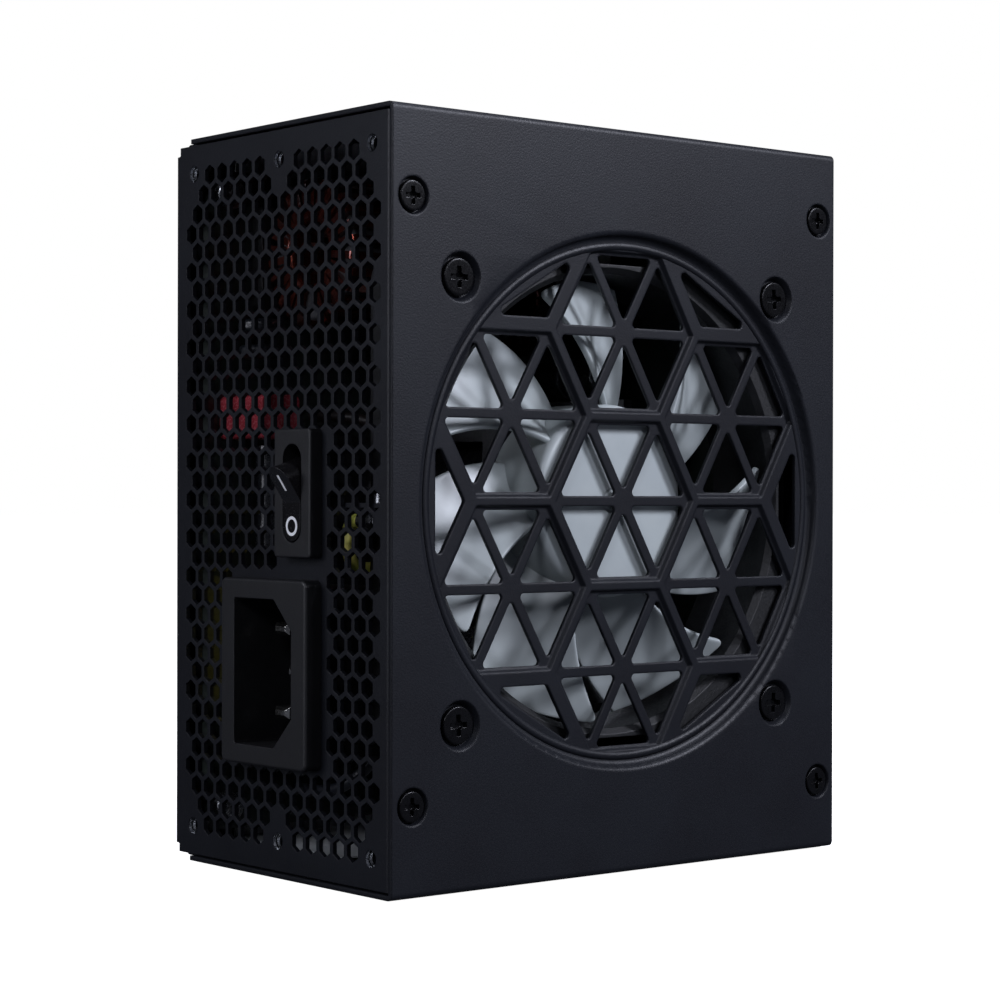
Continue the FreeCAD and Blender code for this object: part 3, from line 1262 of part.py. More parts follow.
def make_fan_lead():
    """Two wires from the motor base, along the back of a strut, down to the plug."""
    c = FAN_PLUG
    top = X_DECK + c["top"]
    wires = []
    for step in (-0.75, 0.75):
        wires.append(wire_along([(FAN_BACK, 9.0, 76.0 + step), (9.8, 9.0, 76.0 + step), (7.5, 18.0, 86.0 + step),
                                 (5.0, 26.0, 95.0 + step), (0.0, 32.0, 102.5 + step),
                                 (-7.0, c["y"], c["z"] + step), (top, c["y"], c["z"] + step)], FAN_WIRE_R))
    return group(wires)


save("cover", make_cover())
save("chassis", make_chassis())
save("fan_screws", make_fan_screws())
save("cover_screws", make_cover_screws())
save("fan_pads", make_fan_pads())
save("fan_frame", make_fan_frame())
save("fan_rotor", make_fan_rotor())
save("fan_shaft", make_fan_shaft())
save("fan_bearing", make_fan_bearing())
save("fan_magnet_ring", make_fan_magnet_ring())
save("fan_stator", make_fan_stator())
save("fan_coils", make_fan_coils())
save("fan_circuit_board", make_fan_circuit_board())
save("inlet_housing", make_inlet_housing())
save("inlet_pins", make_inlet_pins())
save("switch_housing", make_switch_housing())
save("switch_rocker", make_switch_rocker())
save("rocker_plunger", make_rocker_plunger())
save("switch_contact_blade", make_switch_contact_blade())
save("switch_terminals", make_switch_terminals())
save("standoffs", make_standoffs())
save("main_board", make_main_board())
save("board_screws", make_board_screws())
save("insulation_sheet", make_insulation_sheet())
save("bulk_capacitor", make_bulk_capacitor())
save("polymer_capacitors", make_polymer_capacitors())
save("ring_choke_core", make_choke_core())
save("ring_choke_winding", make_choke_winding())
save("ring_choke_base", make_choke_base())
save("filter_choke_core", make_emi_core())
save("filter_choke_windings", make_emi_windings())
save("transformer_core", make_transformer_core())
save("transformer_winding", make_transformer_winding())
save("standby_transformer", make_standby_transformer())
output_core, output_turns = make_output_choke()
save("output_choke_core", output_core)
save("output_choke_winding", output_turns)
save("red_film_capacitor", make_red_film_capacitor())
save("mains_film_capacitor", make_mains_film_capacitor())
save("disc_capacitors", make_disc_capacitors())
fuse_tube, fuse_caps = make_fuse()
save("fuse_tube", fuse_tube)
save("fuse_caps", fuse_caps)
for name in HEATSINKS:
    save(name, make_heatsink(name))
save("transistors", make_transistors())
save("bridge_rectifier", make_bridge_rectifier())
save("control_board", make_control_board())
save("control_chips", make_control_chips())
save("output_board", make_output_board())
save("output_sockets", group([make_socket(*place) for place in SOCKETS]))
save("socket_contacts", make_socket_contacts())
save("live_wire", make_live_wire())
save("switched_wire", make_switched_wire())
save("neutral_wire", make_neutral_wire())
save("earth_wire", make_earth_wire())
save("earth_ring_terminal", make_earth_ring_terminal())
save("earth_screw", make_earth_screw())
save("fan_header", make_fan_header())
save("fan_plug", make_fan_plug())
save("fan_lead", make_fan_lead())
print(len(built), "sub-parts")
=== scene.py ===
import json
import math

import bpy
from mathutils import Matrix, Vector

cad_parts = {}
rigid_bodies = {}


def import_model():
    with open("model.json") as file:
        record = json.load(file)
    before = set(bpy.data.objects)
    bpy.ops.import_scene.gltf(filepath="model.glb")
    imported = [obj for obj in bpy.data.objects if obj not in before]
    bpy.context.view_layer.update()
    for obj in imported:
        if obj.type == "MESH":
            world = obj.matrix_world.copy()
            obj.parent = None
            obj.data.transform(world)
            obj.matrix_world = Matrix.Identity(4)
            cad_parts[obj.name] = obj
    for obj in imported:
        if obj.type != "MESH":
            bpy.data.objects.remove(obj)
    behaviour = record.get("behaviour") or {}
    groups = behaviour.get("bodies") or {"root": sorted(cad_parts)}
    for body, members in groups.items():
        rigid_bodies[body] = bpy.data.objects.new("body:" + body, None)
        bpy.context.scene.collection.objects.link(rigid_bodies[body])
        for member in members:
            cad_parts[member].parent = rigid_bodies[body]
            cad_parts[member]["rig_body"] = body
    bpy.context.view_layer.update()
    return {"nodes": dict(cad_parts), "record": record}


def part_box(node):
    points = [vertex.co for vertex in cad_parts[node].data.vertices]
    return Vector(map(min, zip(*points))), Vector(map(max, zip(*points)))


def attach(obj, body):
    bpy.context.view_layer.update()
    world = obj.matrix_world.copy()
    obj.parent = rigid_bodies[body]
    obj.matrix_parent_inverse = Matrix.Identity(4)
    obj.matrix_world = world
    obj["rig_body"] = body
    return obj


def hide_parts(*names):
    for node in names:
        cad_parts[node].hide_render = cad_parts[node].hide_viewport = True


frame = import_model()
cadNodes = frame["nodes"]
slotOfNode = {part["node"]: part["material_slot"] for part in frame["record"]["subparts"]}
bodyOfNode = {name: node["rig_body"] for name, node in cadNodes.items()}
scene = bpy.context.scene
mm = 0.001
mergeGap = 0.002 * mm      # corners of drawn pieces closer than this become one
print("frame loaded:", len(cadNodes), "nodes")


# small helpers

def deselectAll():
    if bpy.context.object and bpy.context.object.mode != "OBJECT":
        bpy.ops.object.mode_set(mode="OBJECT")
    bpy.ops.object.select_all(action="DESELECT")


def onlyThis(piece):
    deselectAll()
    piece.select_set(True)
    bpy.context.view_layer.objects.active = piece


def editAll(piece):
    onlyThis(piece)
    bpy.ops.object.mode_set(mode="EDIT")
    bpy.ops.mesh.select_mode(type="VERT")
    bpy.ops.mesh.select_all(action="SELECT")


def pickFaces(piece, test):
    # faces whose centre and normal pass the test become the selection
    bpy.ops.object.mode_set(mode="EDIT")
    bpy.ops.mesh.select_mode(type="FACE")
    bpy.ops.mesh.select_all(action="DESELECT")
    bpy.ops.object.mode_set(mode="OBJECT")
    for face in piece.data.polygons:
        face.select = test(face.center, face.normal)
    bpy.ops.object.mode_set(mode="EDIT")


def newPiece(name):
    piece = bpy.context.object
    piece.name = name
    piece.data.name = name
    return piece


def addModifier(piece, kind, **settings):
    onlyThis(piece)
    modifier = piece.modifiers.new(kind.lower(), kind)
    for key, value in settings.items():
        setattr(modifier, key, value)
    bpy.ops.object.modifier_apply(modifier=modifier.name)


def drawLine(name, places):
    # a plane closed up into one vertex, then drawn on from place to place
    bpy.ops.mesh.primitive_plane_add(size=1 * mm, location=places[0])
    piece = newPiece(name)
    bpy.ops.object.transform_apply(location=True, rotation=True, scale=True)
    editAll(piece)
    bpy.ops.mesh.merge(type="CENTER")
    bpy.ops.mesh.select_all(action="SELECT")
    for here, there in zip(places, places[1:]):
        bpy.ops.mesh.extrude_region_move(TRANSFORM_OT_translate={"value": there - here})
    return piece


def spinLine(steps, middle, axis, inside=False):
    # the drawn line goes once round the axis and closes on itself
    bpy.ops.mesh.select_all(action="SELECT")
    bpy.ops.mesh.spin(steps=steps, angle=math.radians(360), center=middle, axis=axis)
    bpy.ops.mesh.select_all(action="SELECT")
    bpy.ops.mesh.remove_doubles(threshold=mergeGap)
    bpy.ops.mesh.normals_make_consistent(inside=inside)
    bpy.ops.object.mode_set(mode="OBJECT")


def settle(piece, finish, body, slot, *nodes):
    # the place goes into the mesh, then the piece gets its finish, its body and the nodes it stands for
    onlyThis(piece)
    bpy.ops.object.transform_apply(location=True, rotation=True, scale=True)
    piece.data.materials.clear()
    piece.data.materials.append(finish)
    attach(piece, body)
    if nodes:
        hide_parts(*nodes)
    return piece


def copyOf(piece, name):
    # a copy with its own mesh
    twin = piece.copy()
    twin.data = piece.data.copy()
    twin.name = name
    twin.data.name = name
    scene.collection.objects.link(twin)
    return twin


def hexColour(text):
    # sRGB hex to linear
    channels = [int(text[i:i + 2], 16) / 255 for i in (1, 3, 5)]
    return tuple([c / 12.92 if c <= 0.04045 else ((c + 0.055) / 1.055) ** 2.4 for c in channels] + [1.0])


def addNode(material, kind, inputs=None, links=None, **settings):
    node = material.node_tree.nodes.new(kind)
    for key, value in settings.items():
        setattr(node, key, value)
    for key, value in (inputs or {}).items():
        node.inputs[key].default_value = value
    for key, source in (links or {}).items():
        material.node_tree.links.new(source, node.inputs[key])
    return node


def paintTones(ramp, dark, light, low=0.36, high=0.64):
    ramp.color_ramp.elements[0].position = low
    ramp.color_ramp.elements[0].color = hexColour(dark)
    ramp.color_ramp.elements[1].position = high
    ramp.color_ramp.elements[1].color = hexColour(light)


deselectAll()


# finishes: sizes in mm, colours in sRGB hex

waveFit = 0.31   # scales a wave texture so that one stripe is one band wide


def makeFinish(name, look):
    # two tones drift over patches or bands, fine grain moves the gloss and the surface
    material = bpy.data.materials.new(name)
    material.use_nodes = True
    material.node_tree.nodes.clear()
    place = addNode(material, "ShaderNodeTexCoord").outputs["Object"]
    grain = addNode(material, "ShaderNodeTexNoise", {"Scale": 1 / (look["grain"] * mm), "Detail": 2.0},
                    {"Vector": place})
    patch = addNode(material, "ShaderNodeTexNoise", {"Scale": 1 / (look["patch"] * mm), "Detail": 3.0},
                    {"Vector": place})
    tone = patch.outputs["Fac"]
    height = grain.outputs["Fac"]
    if "band" in look:
        stripes = addNode(material, "ShaderNodeTexWave",
                          {"Scale": waveFit / (look["band"] * mm), "Distortion": 0.4, "Detail": 1.0,
                           "Detail Scale": 2.0}, {"Vector": place}, bands_direction=look["bandAxis"])
        height = stripes.outputs["Fac"]
        tone = addNode(material, "ShaderNodeMath", {1: 0.5}, {0: stripes.outputs["Fac"]},
                       operation="MULTIPLY")
        tone = addNode(material, "ShaderNodeMath", {}, {0: tone.outputs[0], 1: patch.outputs["Fac"]},
                       operation="ADD").outputs[0]
    ramp = addNode(material, "ShaderNodeValToRGB", links={"Fac": tone})
    paintTones(ramp, look["dark"], look["light"])
    gloss = addNode(material, "ShaderNodeMapRange",
                    {"From Min": 0.3, "From Max": 0.7, "To Min": look["rough"][0],
                     "To Max": look["rough"][1]}, {"Value": grain.outputs["Fac"]})
    bump = addNode(material, "ShaderNodeBump", {"Distance": look["bump"] * mm, "Strength": 0.8},
                   {"Height": height})
    if "softEdge" in look:   # edges catch the light as a rounded coat does
        edge = addNode(material, "ShaderNodeBevel", {"Radius": look["softEdge"] * mm}, samples=6)
        material.node_tree.links.new(edge.outputs["Normal"], bump.inputs["Normal"])
    settings = {"Metallic": look.get("metal", 0.0), "Coat Weight": look.get("coat", 0.0)}
    if "ior" in look:
        settings["IOR"] = look["ior"]
    shader = addNode(material, "ShaderNodeBsdfPrincipled", settings,
                     {"Base Color": ramp.outputs["Color"], "Roughness": gloss.outputs["Result"],
                      "Normal": bump.outputs["Normal"]})
    addNode(material, "ShaderNodeOutputMaterial", links={"Surface": shader.outputs["BSDF"]})
    return material


# epoxy-polyester powder, sprayed and baked: a dry fine grain, blue-black, broad soft highlights
powder = {"dark": "#101116", "light": "#14161b", "grain": 0.3, "patch": 18, "rough": (0.4, 0.5),
          "bump": 0.035, "ior": 1.34}
finishes = {
    "case_coat": makeFinish("powderCoatedSteel", {**powder, "softEdge": 0.2}),
    # black-oxide steel screws, oiled: darker than the coat with a tight glint on the rim
    "black_screw": makeFinish("blackOxideSteel", {
        "dark": "#050506", "light": "#09090b", "grain": 0.25, "patch": 2, "rough": (0.24, 0.34),
        "bump": 0.008, "ior": 1.3, "softEdge": 0.16}),
    # moulded silicone pads: dull and dusty
    "rubber_pad": makeFinish("siliconeRubber", {
        "dark": "#0d0d0e", "light": "#151516", "grain": 0.2, "patch": 3, "rough": (0.7, 0.85), "bump": 0.01,
        "ior": 1.41}),
    # glass-filled PBT from a spark-eroded mould: black with a speckled grain
    "fan_plastic": makeFinish("glassFilledPbt", {
        "dark": "#08090a", "light": "#101113", "grain": 0.45, "patch": 0.9, "rough": (0.44, 0.6),
        "bump": 0.05, "ior": 1.45, "softEdge": 0.25}),
    # natural grey PBT, moulded smooth: pale blades with a satin sheen and faint flow marks
    "blade_plastic": makeFinish("greyPbt", {
        "dark": "#a2a9a9", "light": "#a9b0af", "grain": 0.5, "patch": 9, "rough": (0.36, 0.42),
        "bump": 0.006, "ior": 1.55}),
    # ground carbon steel: bright with fine turning marks
    "steel": makeFinish("groundSteel", {
        "dark": "#8d8f92", "light": "#b4b6b8", "grain": 0.2, "patch": 2, "rough": (0.2, 0.34),
        "bump": 0.005, "metal": 1.0}),
    # bonded ferrite magnet: matt dark grey, gritty
    "magnet": makeFinish("bondedFerrite", {
        "dark": "#2b2a2a", "light": "#3a3938", "grain": 0.25, "patch": 2, "rough": (0.6, 0.75),
        "bump": 0.02, "ior": 1.5}),
    # turned brass: warm yellow metal
    "brass": makeFinish("turnedBrass", {
        "dark": "#a8843c", "light": "#c79f52", "grain": 0.2, "patch": 2, "rough": (0.22, 0.36),
        "bump": 0.006, "metal": 1.0}),
    # stacked silicon steel: thin stripes across the stack
    "lamination": makeFinish("siliconSteelStack", {
        "dark": "#45474b", "light": "#7c7f84", "grain": 0.3, "patch": 3, "rough": (0.3, 0.5), "bump": 0.05,
        "metal": 0.9, "band": 0.5, "bandAxis": "X"}),
    # enamelled copper wire: orange-brown under clear enamel
    "copper": makeFinish("enamelledCopper", {
        "dark": "#5e261d", "light": "#8c4334", "grain": 0.3, "patch": 3, "rough": (0.12, 0.2),
        "bump": 0.006, "metal": 0.85, "coat": 1.0}),
    # FR4 glass epoxy under solder mask: dark green-black with a woven relief
    "board": makeFinish("solderMaskedFr4", {
        "dark": "#101412", "light": "#191f1b", "grain": 0.4, "patch": 5, "rough": (0.3, 0.42), "bump": 0.02,
        "ior": 1.5, "coat": 0.2, "band": 1.2, "bandAxis": "Z"}),
    # flexible PVC sleeves in their colours
    "wire_black": makeFinish("blackPvc", {
        "dark": "#0e0e0f", "light": "#19191a", "grain": 0.3, "patch": 3, "rough": (0.4, 0.5), "bump": 0.008,
        "ior": 1.53}),
    "wire_brown": makeFinish("darkBrownPvc", {
        "dark": "#171110", "light": "#211917", "grain": 0.3, "patch": 3, "rough": (0.4, 0.5), "bump": 0.008,
        "ior": 1.53}),
    "wire_blue": makeFinish("slatePvc", {
        "dark": "#1a1d24", "light": "#262a33", "grain": 0.3, "patch": 3, "rough": (0.4, 0.5), "bump": 0.008,
        "ior": 1.53}),
    "wire_earth": makeFinish("yellowGreenPvc", {
        "dark": "#a9b244", "light": "#efe27a", "grain": 0.3, "patch": 3.5, "rough": (0.4, 0.5),
        "bump": 0.008, "ior": 1.53}),
    # natural nylon 6 connectors: milky white
    "white_plastic": makeFinish("naturalNylon", {
        "dark": "#d4d2c8", "light": "#e4e3dc", "grain": 0.4, "patch": 4, "rough": (0.35, 0.5), "bump": 0.01,
        "ior": 1.53}),
    # black nylon 66, finely textured mould: satin, a little grey on its flats
    "black_plastic": makeFinish("blackNylon", {
        "dark": "#0b0b0d", "light": "#101012", "grain": 0.3, "patch": 6, "rough": (0.42, 0.54),
        "bump": 0.02, "ior": 1.5, "softEdge": 0.25}),
    # nickel on brass pins: bright, faintly warm
    "nickel": makeFinish("nickelPlate", {
        "dark": "#b0aea8", "light": "#d0cec8", "grain": 0.3, "patch": 2, "rough": (0.14, 0.26),
        "bump": 0.004, "metal": 1.0, "softEdge": 0.15}),
    # black polycarbonate rocker, polished mould: a soft band of light on round walls
    "rocker_plastic": makeFinish("blackPolycarbonate", {
        "dark": "#0d0c0d", "light": "#121112", "grain": 0.3, "patch": 5, "rough": (0.2, 0.28),
        "bump": 0.006, "ior": 1.58, "softEdge": 0.2}),
    # polyester film: milky white
    "film": makeFinish("polyesterFilm", {
        "dark": "#bfc3c4", "light": "#dadddd", "grain": 0.5, "patch": 8, "rough": (0.3, 0.45), "bump": 0.01,
        "ior": 1.57}),
    # heat-shrink PVC sleeve: near black, glossy
    "can_sleeve": makeFinish("shrunkPvcSleeve", {
        "dark": "#131418", "light": "#1d1e24", "grain": 0.4, "patch": 6, "rough": (0.2, 0.32),
        "bump": 0.008, "ior": 1.53}),
    # drawn aluminium can tops
    "can_metal": makeFinish("drawnAluminium", {
        "dark": "#a5a8ab", "light": "#c9ccce", "grain": 0.3, "patch": 3, "rough": (0.25, 0.4),
        "bump": 0.006, "metal": 1.0}),
    # sintered ferrite, ground: matt grey-black
    "ferrite": makeFinish("sinteredFerrite", {
        "dark": "#232426", "light": "#303134", "grain": 0.35, "patch": 4, "rough": (0.5, 0.68),
        "bump": 0.02, "ior": 1.6}),
    # black polyester tape in overlapping turns
    "tape": makeFinish("polyesterTape", {
        "dark": "#121213", "light": "#1c1c1e", "grain": 0.4, "patch": 4, "rough": (0.25, 0.38),
        "bump": 0.06, "ior": 1.57, "band": 2.5, "bandAxis": "X"}),
    # dipped epoxy over film: red, rounded and glossy
    "red_film": makeFinish("redDippedEpoxy", {
        "dark": "#8c2f36", "light": "#a5414a", "grain": 0.5, "patch": 3, "rough": (0.2, 0.32), "bump": 0.02,
        "ior": 1.55}),
    # moulded PBT box: yellow
    "yellow_box": makeFinish("yellowPbtBox", {
        "dark": "#dccb52", "light": "#efe283", "grain": 0.4, "patch": 5, "rough": (0.35, 0.48),
        "bump": 0.012, "ior": 1.55}),
    # ceramic discs dipped in dark epoxy
    "blue_disc": makeFinish("darkDippedEpoxy", {
        "dark": "#15181c", "light": "#20242a", "grain": 0.4, "patch": 3, "rough": (0.25, 0.38),
        "bump": 0.015, "ior": 1.55}),
    # alumina tube in a dark heat-shrink sleeve
    "ceramic": makeFinish("sleevedAlumina", {
        "dark": "#17181b", "light": "#222428", "grain": 0.4, "patch": 3, "rough": (0.18, 0.3),
        "bump": 0.006, "ior": 1.76}),
    # extruded aluminium sheet: drawn lines along its length
    "aluminium": makeFinish("extrudedAluminium", {
        "dark": "#8f9296", "light": "#b3b6b9", "grain": 0.3, "patch": 5, "rough": (0.28, 0.44),
        "bump": 0.012, "metal": 1.0, "band": 0.8, "bandAxis": "X"}),
}
# the same powder over the deep-drawn fan panel, where it flows into rounder edges
panelCoat = makeFinish("powderCoatedDrawnSteel", {**powder, "softEdge": 0.5})
# white acrylic ink, tampon printed: flat white with a dry grain
markInk = makeFinish("whiteAcrylicInk", {"dark": "#e6e7e8", "light": "#f5f6f6", "grain": 0.3, "patch": 2,
                     "rough": (0.4, 0.55), "bump": 0.006, "ior": 1.49})
for nodeName, node in cadNodes.items():
    node.data.materials.clear()
    node.data.materials.append(finishes[slotOfNode[nodeName]])
cadNodes["fuse_caps"].data.materials.clear()
cadNodes["fuse_caps"].data.materials.append(finishes["ceramic"])   # the sleeve covers the caps too
print("finishes made:", len(finishes) + 2)


# folded and moulded shells: a merged copy of the CAD shape, its curves smoothed and its flats kept flat

def smoothCopy(nodeName, name):
    piece = bpy.data.objects.new(name, cadNodes[nodeName].data.copy())
    piece.data.name = name
    scene.collection.objects.link(piece)
    onlyThis(piece)
    if piece.data.has_custom_normals:
        bpy.ops.mesh.customdata_custom_splitnormals_clear()
    editAll(piece)
    bpy.ops.mesh.remove_doubles(threshold=0.001 * mm)
    bpy.ops.object.mode_set(mode="OBJECT")
    bpy.ops.object.shade_smooth_by_angle(angle=math.radians(32))
    addModifier(piece, "WEIGHTED_NORMAL", keep_sharp=True, weight=50)
    slot = slotOfNode[nodeName]
    return settle(piece, finishes[slot], bodyOfNode[nodeName], slot, nodeName)


shellNames = {"cover": "coverShell", "chassis": "chassisShell", "inlet_housing": "inletHousing",
              "inlet_pins": "inletPins", "switch_housing": "switchHousing", "fan_frame": "fanFrame",
              "output_sockets": "outputSockets", "switch_rocker": "switchRocker", "fan_pads": "fanPads",
              "output_board": "outputBoard"}
for nodeName, name in shellNames.items():
    piece = smoothCopy(nodeName, name)
    print("shell:", name, len(piece.data.polygons), "faces")
cover = bpy.data.objects["coverShell"]
cover.data.materials.clear()
cover.data.materials.append(panelCoat)


# screws: a low head with a cross recess, turned once and copied

# shared by both kinds: the ring pressed round the face, how far a cutter stands out of the face, how much
# the cross narrows towards its foot, and the square opening in its middle, in widths of an arm
screwShape = {"sides": 56, "faceRing": 0.25, "clear": 1, "footAlong": 0.72, "footAcross": 0.7,
              "middleHalf": 0.95, "middleWide": 1.9}


def makeScrew(look):
    # built at the origin of its seat, head towards +X
    shape = screwShape
    bpy.ops.mesh.primitive_cylinder_add(vertices=shape["sides"], radius=look["head"] * mm,
                                        depth=look["headThick"] * mm,
                                        location=(look["headThick"] / 2 * mm, 0, 0),
                                        rotation=(0, math.radians(90), 0))
    screw = newPiece("screw")
    bpy.ops.object.transform_apply(location=True, rotation=True, scale=True)
    pickFaces(screw, lambda centre, normal: normal.x > 0.9)
    bpy.ops.mesh.bevel(offset=look["rim"] * mm, segments=3, affect="EDGES")
    pickFaces(screw, lambda centre, normal: normal.x > 0.99)
    bpy.ops.mesh.inset(thickness=shape["faceRing"] * mm)
    pickFaces(screw, lambda centre, normal: normal.x < -0.9)
    bpy.ops.mesh.inset(thickness=(look["head"] - look["shank"]) * mm)
    bpy.ops.mesh.extrude_region_move(TRANSFORM_OT_translate={"value": (-look["length"] * mm, 0, 0)})
    bpy.ops.object.mode_set(mode="OBJECT")
    cutters = []
    slot, deep, clear = look["slot"], look["deep"], shape["clear"]
    cutX = look["headThick"] + clear / 2 - deep / 2
    arm = (look["arm"], slot)
    opening = (slot * shape["middleHalf"], slot * shape["middleWide"])
    for turn, (half, wide) in ((0, arm), (90, arm), (45, opening)):
        bpy.ops.mesh.primitive_cube_add(size=1, location=(cutX * mm, 0, 0),
                                        scale=((deep + clear) * mm, half * 2 * mm, wide * mm))
        cutter = newPiece("recess")
        bpy.ops.object.transform_apply(location=True, rotation=True, scale=True)
        pickFaces(cutter, lambda centre, normal: normal.x < -0.9)
        bpy.ops.transform.resize(value=(1, shape["footAlong"], shape["footAcross"]))
        bpy.ops.object.mode_set(mode="OBJECT")
        cutter.rotation_euler = (math.radians(turn), 0, 0)
        cutters.append(cutter)
    for cutter in cutters:
        addModifier(screw, "BOOLEAN", operation="DIFFERENCE", object=cutter, solver="EXACT")
    for cutter in cutters:
        bpy.data.objects.remove(cutter)
    onlyThis(screw)
    bpy.ops.object.shade_smooth_by_angle(angle=math.radians(35))
    return screw


def placeScrews(nodeName, name, look):
    # the outer face of the heads comes from the CAD box, the rows are in the look
    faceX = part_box(nodeName)[1].x
    master = makeScrew(look)
    count = 0
    for z, ySide in look["rows"]:
        for y in ySide:
            count += 1
            screw = copyOf(master, name + str(count))
            screw.location = (faceX - look["headThick"] * mm, y * mm, z * mm)
            screw.rotation_euler = (math.radians(look["turns"][count - 1]), 0, 0)
            settle(screw, finishes["black_screw"], "case", "black_screw", nodeName)
    bpy.data.objects.remove(master)
    print("screws:", name, count)


# rows: a height, then the places along the depth at that height; turns: how far each recess is turned
fanScrew = {"head": 3.05, "headThick": 0.9, "rim": 0.22, "shank": 2.1, "length": 4.8, "arm": 2.05,
            "slot": 1.05, "deep": 0.78, "rows": ((26.75, (-36.35, 35.15)), (98.25, (-36.35, 35.15))),
            "turns": (2, -3, 1, 4)}
coverScrew = {"head": 2.45, "headThick": 0.9, "rim": 0.2, "shank": 1.45, "length": 3.8, "arm": 1.7,
              "slot": 0.9, "deep": 0.75,
              "rows": ((14.5, (-45.9,)), (110.5, (-45.9,)), (12.1, (46.0,)), (112.9, (46.0,))),
              "turns": (-2, 1, 3, -1)}
placeScrews("fan_screws", "fanScrew", fanScrew)
placeScrews("cover_screws", "coverScrew", coverScrew)


# fan: a spun hub and seven swept blades

fan = {"y": -0.6, "z": 62.5, "front": 28.0, "back": 15.3, "hub": 16.4, "wall": 1.2, "edge": 1.4, "boss": 3.0,
       "bossEnd": 23.9, "bore": 1.2, "blades": 7, "tip": 37.7, "root": 15.9, "thick": 1.1, "leadX": 27.0,
       "tipAngle": 113.0, "span": 36.0, "sweep": 1.08, "riseRoot": 9.2, "riseTip": 7.5, "rings": 11,
       "steps": 12, "belly": 0.14, "tipRound": 1.8, "edgeRound": 0.3, "dimpleDeep": 0.15, "wellDeep": 0.6,
       "edgeSteps": 8, "hubSteps": 96}
fanMiddle = Vector((0, fan["y"], fan["z"])) * mm


def makeHub():
    hub, front, back = fan["hub"], fan["front"], fan["back"]
    inner = hub - fan["wall"]
    dimple = front - fan["dimpleDeep"]
    well = front - fan["wellDeep"]
    # from the middle of the face over the ring dimple round the moulding point
    profile = [(front, 0.0), (front, 1.4), (dimple, 1.6), (dimple, 1.9), (front, 2.1)]
    for k in range(fan["edgeSteps"] + 1):   # the rounded front edge
        turn = math.radians(90 * k / fan["edgeSteps"])
        profile.append((front - fan["edge"] * (1 - math.cos(turn)), hub - fan["edge"] * (1 - math.sin(turn))))
    profile += [(back, hub), (back, inner), (front - fan["wall"], inner), (front - fan["wall"], fan["boss"]),
                (fan["bossEnd"], fan["boss"]), (fan["bossEnd"], fan["bore"]), (well, fan["bore"]),
                (well, 0.0)]
    places = [Vector((x, fan["y"], fan["z"] + radius)) * mm for x, radius in profile]
    piece = drawLine("fanHub", places)
    spinLine(fan["hubSteps"], fanMiddle, (1, 0, 0))
    bpy.ops.object.shade_smooth_by_angle(angle=math.radians(35))
    return settle(piece, finishes["blade_plastic"], "fan", "blade_plastic", "fan_rotor")


def bladePoint(ring, step):
    along, chord = ring / (fan["rings"] - 1), step / (fan["steps"] - 1)
    radius = fan["root"] + (fan["tip"] - fan["root"]) * along
    lead = fan["tipAngle"] - fan["sweep"] * (fan["tip"] - radius)
    rise = fan["riseRoot"] + (fan["riseTip"] - fan["riseRoot"]) * along
    way = math.radians(lead - fan["span"] * chord)
    return Vector((fan["leadX"] - rise * (chord + fan["belly"] * math.sin(math.pi * chord)),
                   fan["y"] + radius * math.cos(way), fan["z"] + radius * math.sin(way))) * mm


def makeBlade():
    # the root section is drawn point by point, then pulled outwards ring by ring with a twist
    piece = drawLine("bladeMaster", [bladePoint(0, step) for step in range(fan["steps"])])
    bpy.ops.mesh.select_mode(type="EDGE")
    bpy.ops.mesh.select_all(action="SELECT")
    hinge = Vector((fan["leadX"], fan["y"], fan["z"])) * mm
    grow = (fan["tip"] - fan["root"]) / (fan["rings"] - 1)
    riseStep = (fan["riseTip"] - fan["riseRoot"]) / (fan["rings"] - 1)
    for ring in range(1, fan["rings"]):
        wider = (fan["root"] + grow * ring) / (fan["root"] + grow * (ring - 1))
        flatter = (fan["riseRoot"] + riseStep * ring) / (fan["riseRoot"] + riseStep * (ring - 1))
        bpy.ops.mesh.extrude_region_move(TRANSFORM_OT_translate={"value": (0, 0, 0)})
        bpy.ops.transform.resize(value=(flatter, wider, wider), center_override=hinge)
        bpy.ops.transform.rotate(value=-math.radians(fan["sweep"] * grow), orient_axis="X",
                                 center_override=hinge)
    bpy.ops.object.mode_set(mode="OBJECT")
    # the leading corner of the tip is found by its place and rounded off
    wanted = bladePoint(fan["rings"] - 1, 0)
    gaps = [(vertex.co - wanted).length for vertex in piece.data.vertices]
    corner = gaps.index(min(gaps))
    print("blade tip off by mm:", round(min(gaps) / mm, 3))
    bpy.ops.object.mode_set(mode="EDIT")
    bpy.ops.mesh.select_mode(type="VERT")
    bpy.ops.mesh.select_all(action="DESELECT")
    bpy.ops.object.mode_set(mode="OBJECT")
    piece.data.vertices[corner].select = True
    bpy.ops.object.mode_set(mode="EDIT")
    bpy.ops.mesh.bevel(offset=fan["tipRound"] * mm, segments=5, affect="VERTICES")
    bpy.ops.mesh.select_all(action="SELECT")
    bpy.ops.mesh.normals_make_consistent(inside=False)
    bpy.ops.object.mode_set(mode="OBJECT")
    facing = sum(face.normal.x * face.area for face in piece.data.polygons)
    addModifier(piece, "SOLIDIFY", thickness=fan["thick"] * mm, offset=-1 if facing > 0 else 1)
    addModifier(piece, "BEVEL", width=fan["edgeRound"] * mm, segments=2, limit_method="ANGLE",
                angle_limit=math.radians(50), use_clamp_overlap=False)
    addModifier(piece, "SUBSURF", levels=1, render_levels=1)
    editAll(piece)
    bpy.ops.mesh.normals_make_consistent(inside=False)
    bpy.ops.object.mode_set(mode="OBJECT")
    bpy.ops.object.shade_smooth()
    return piece


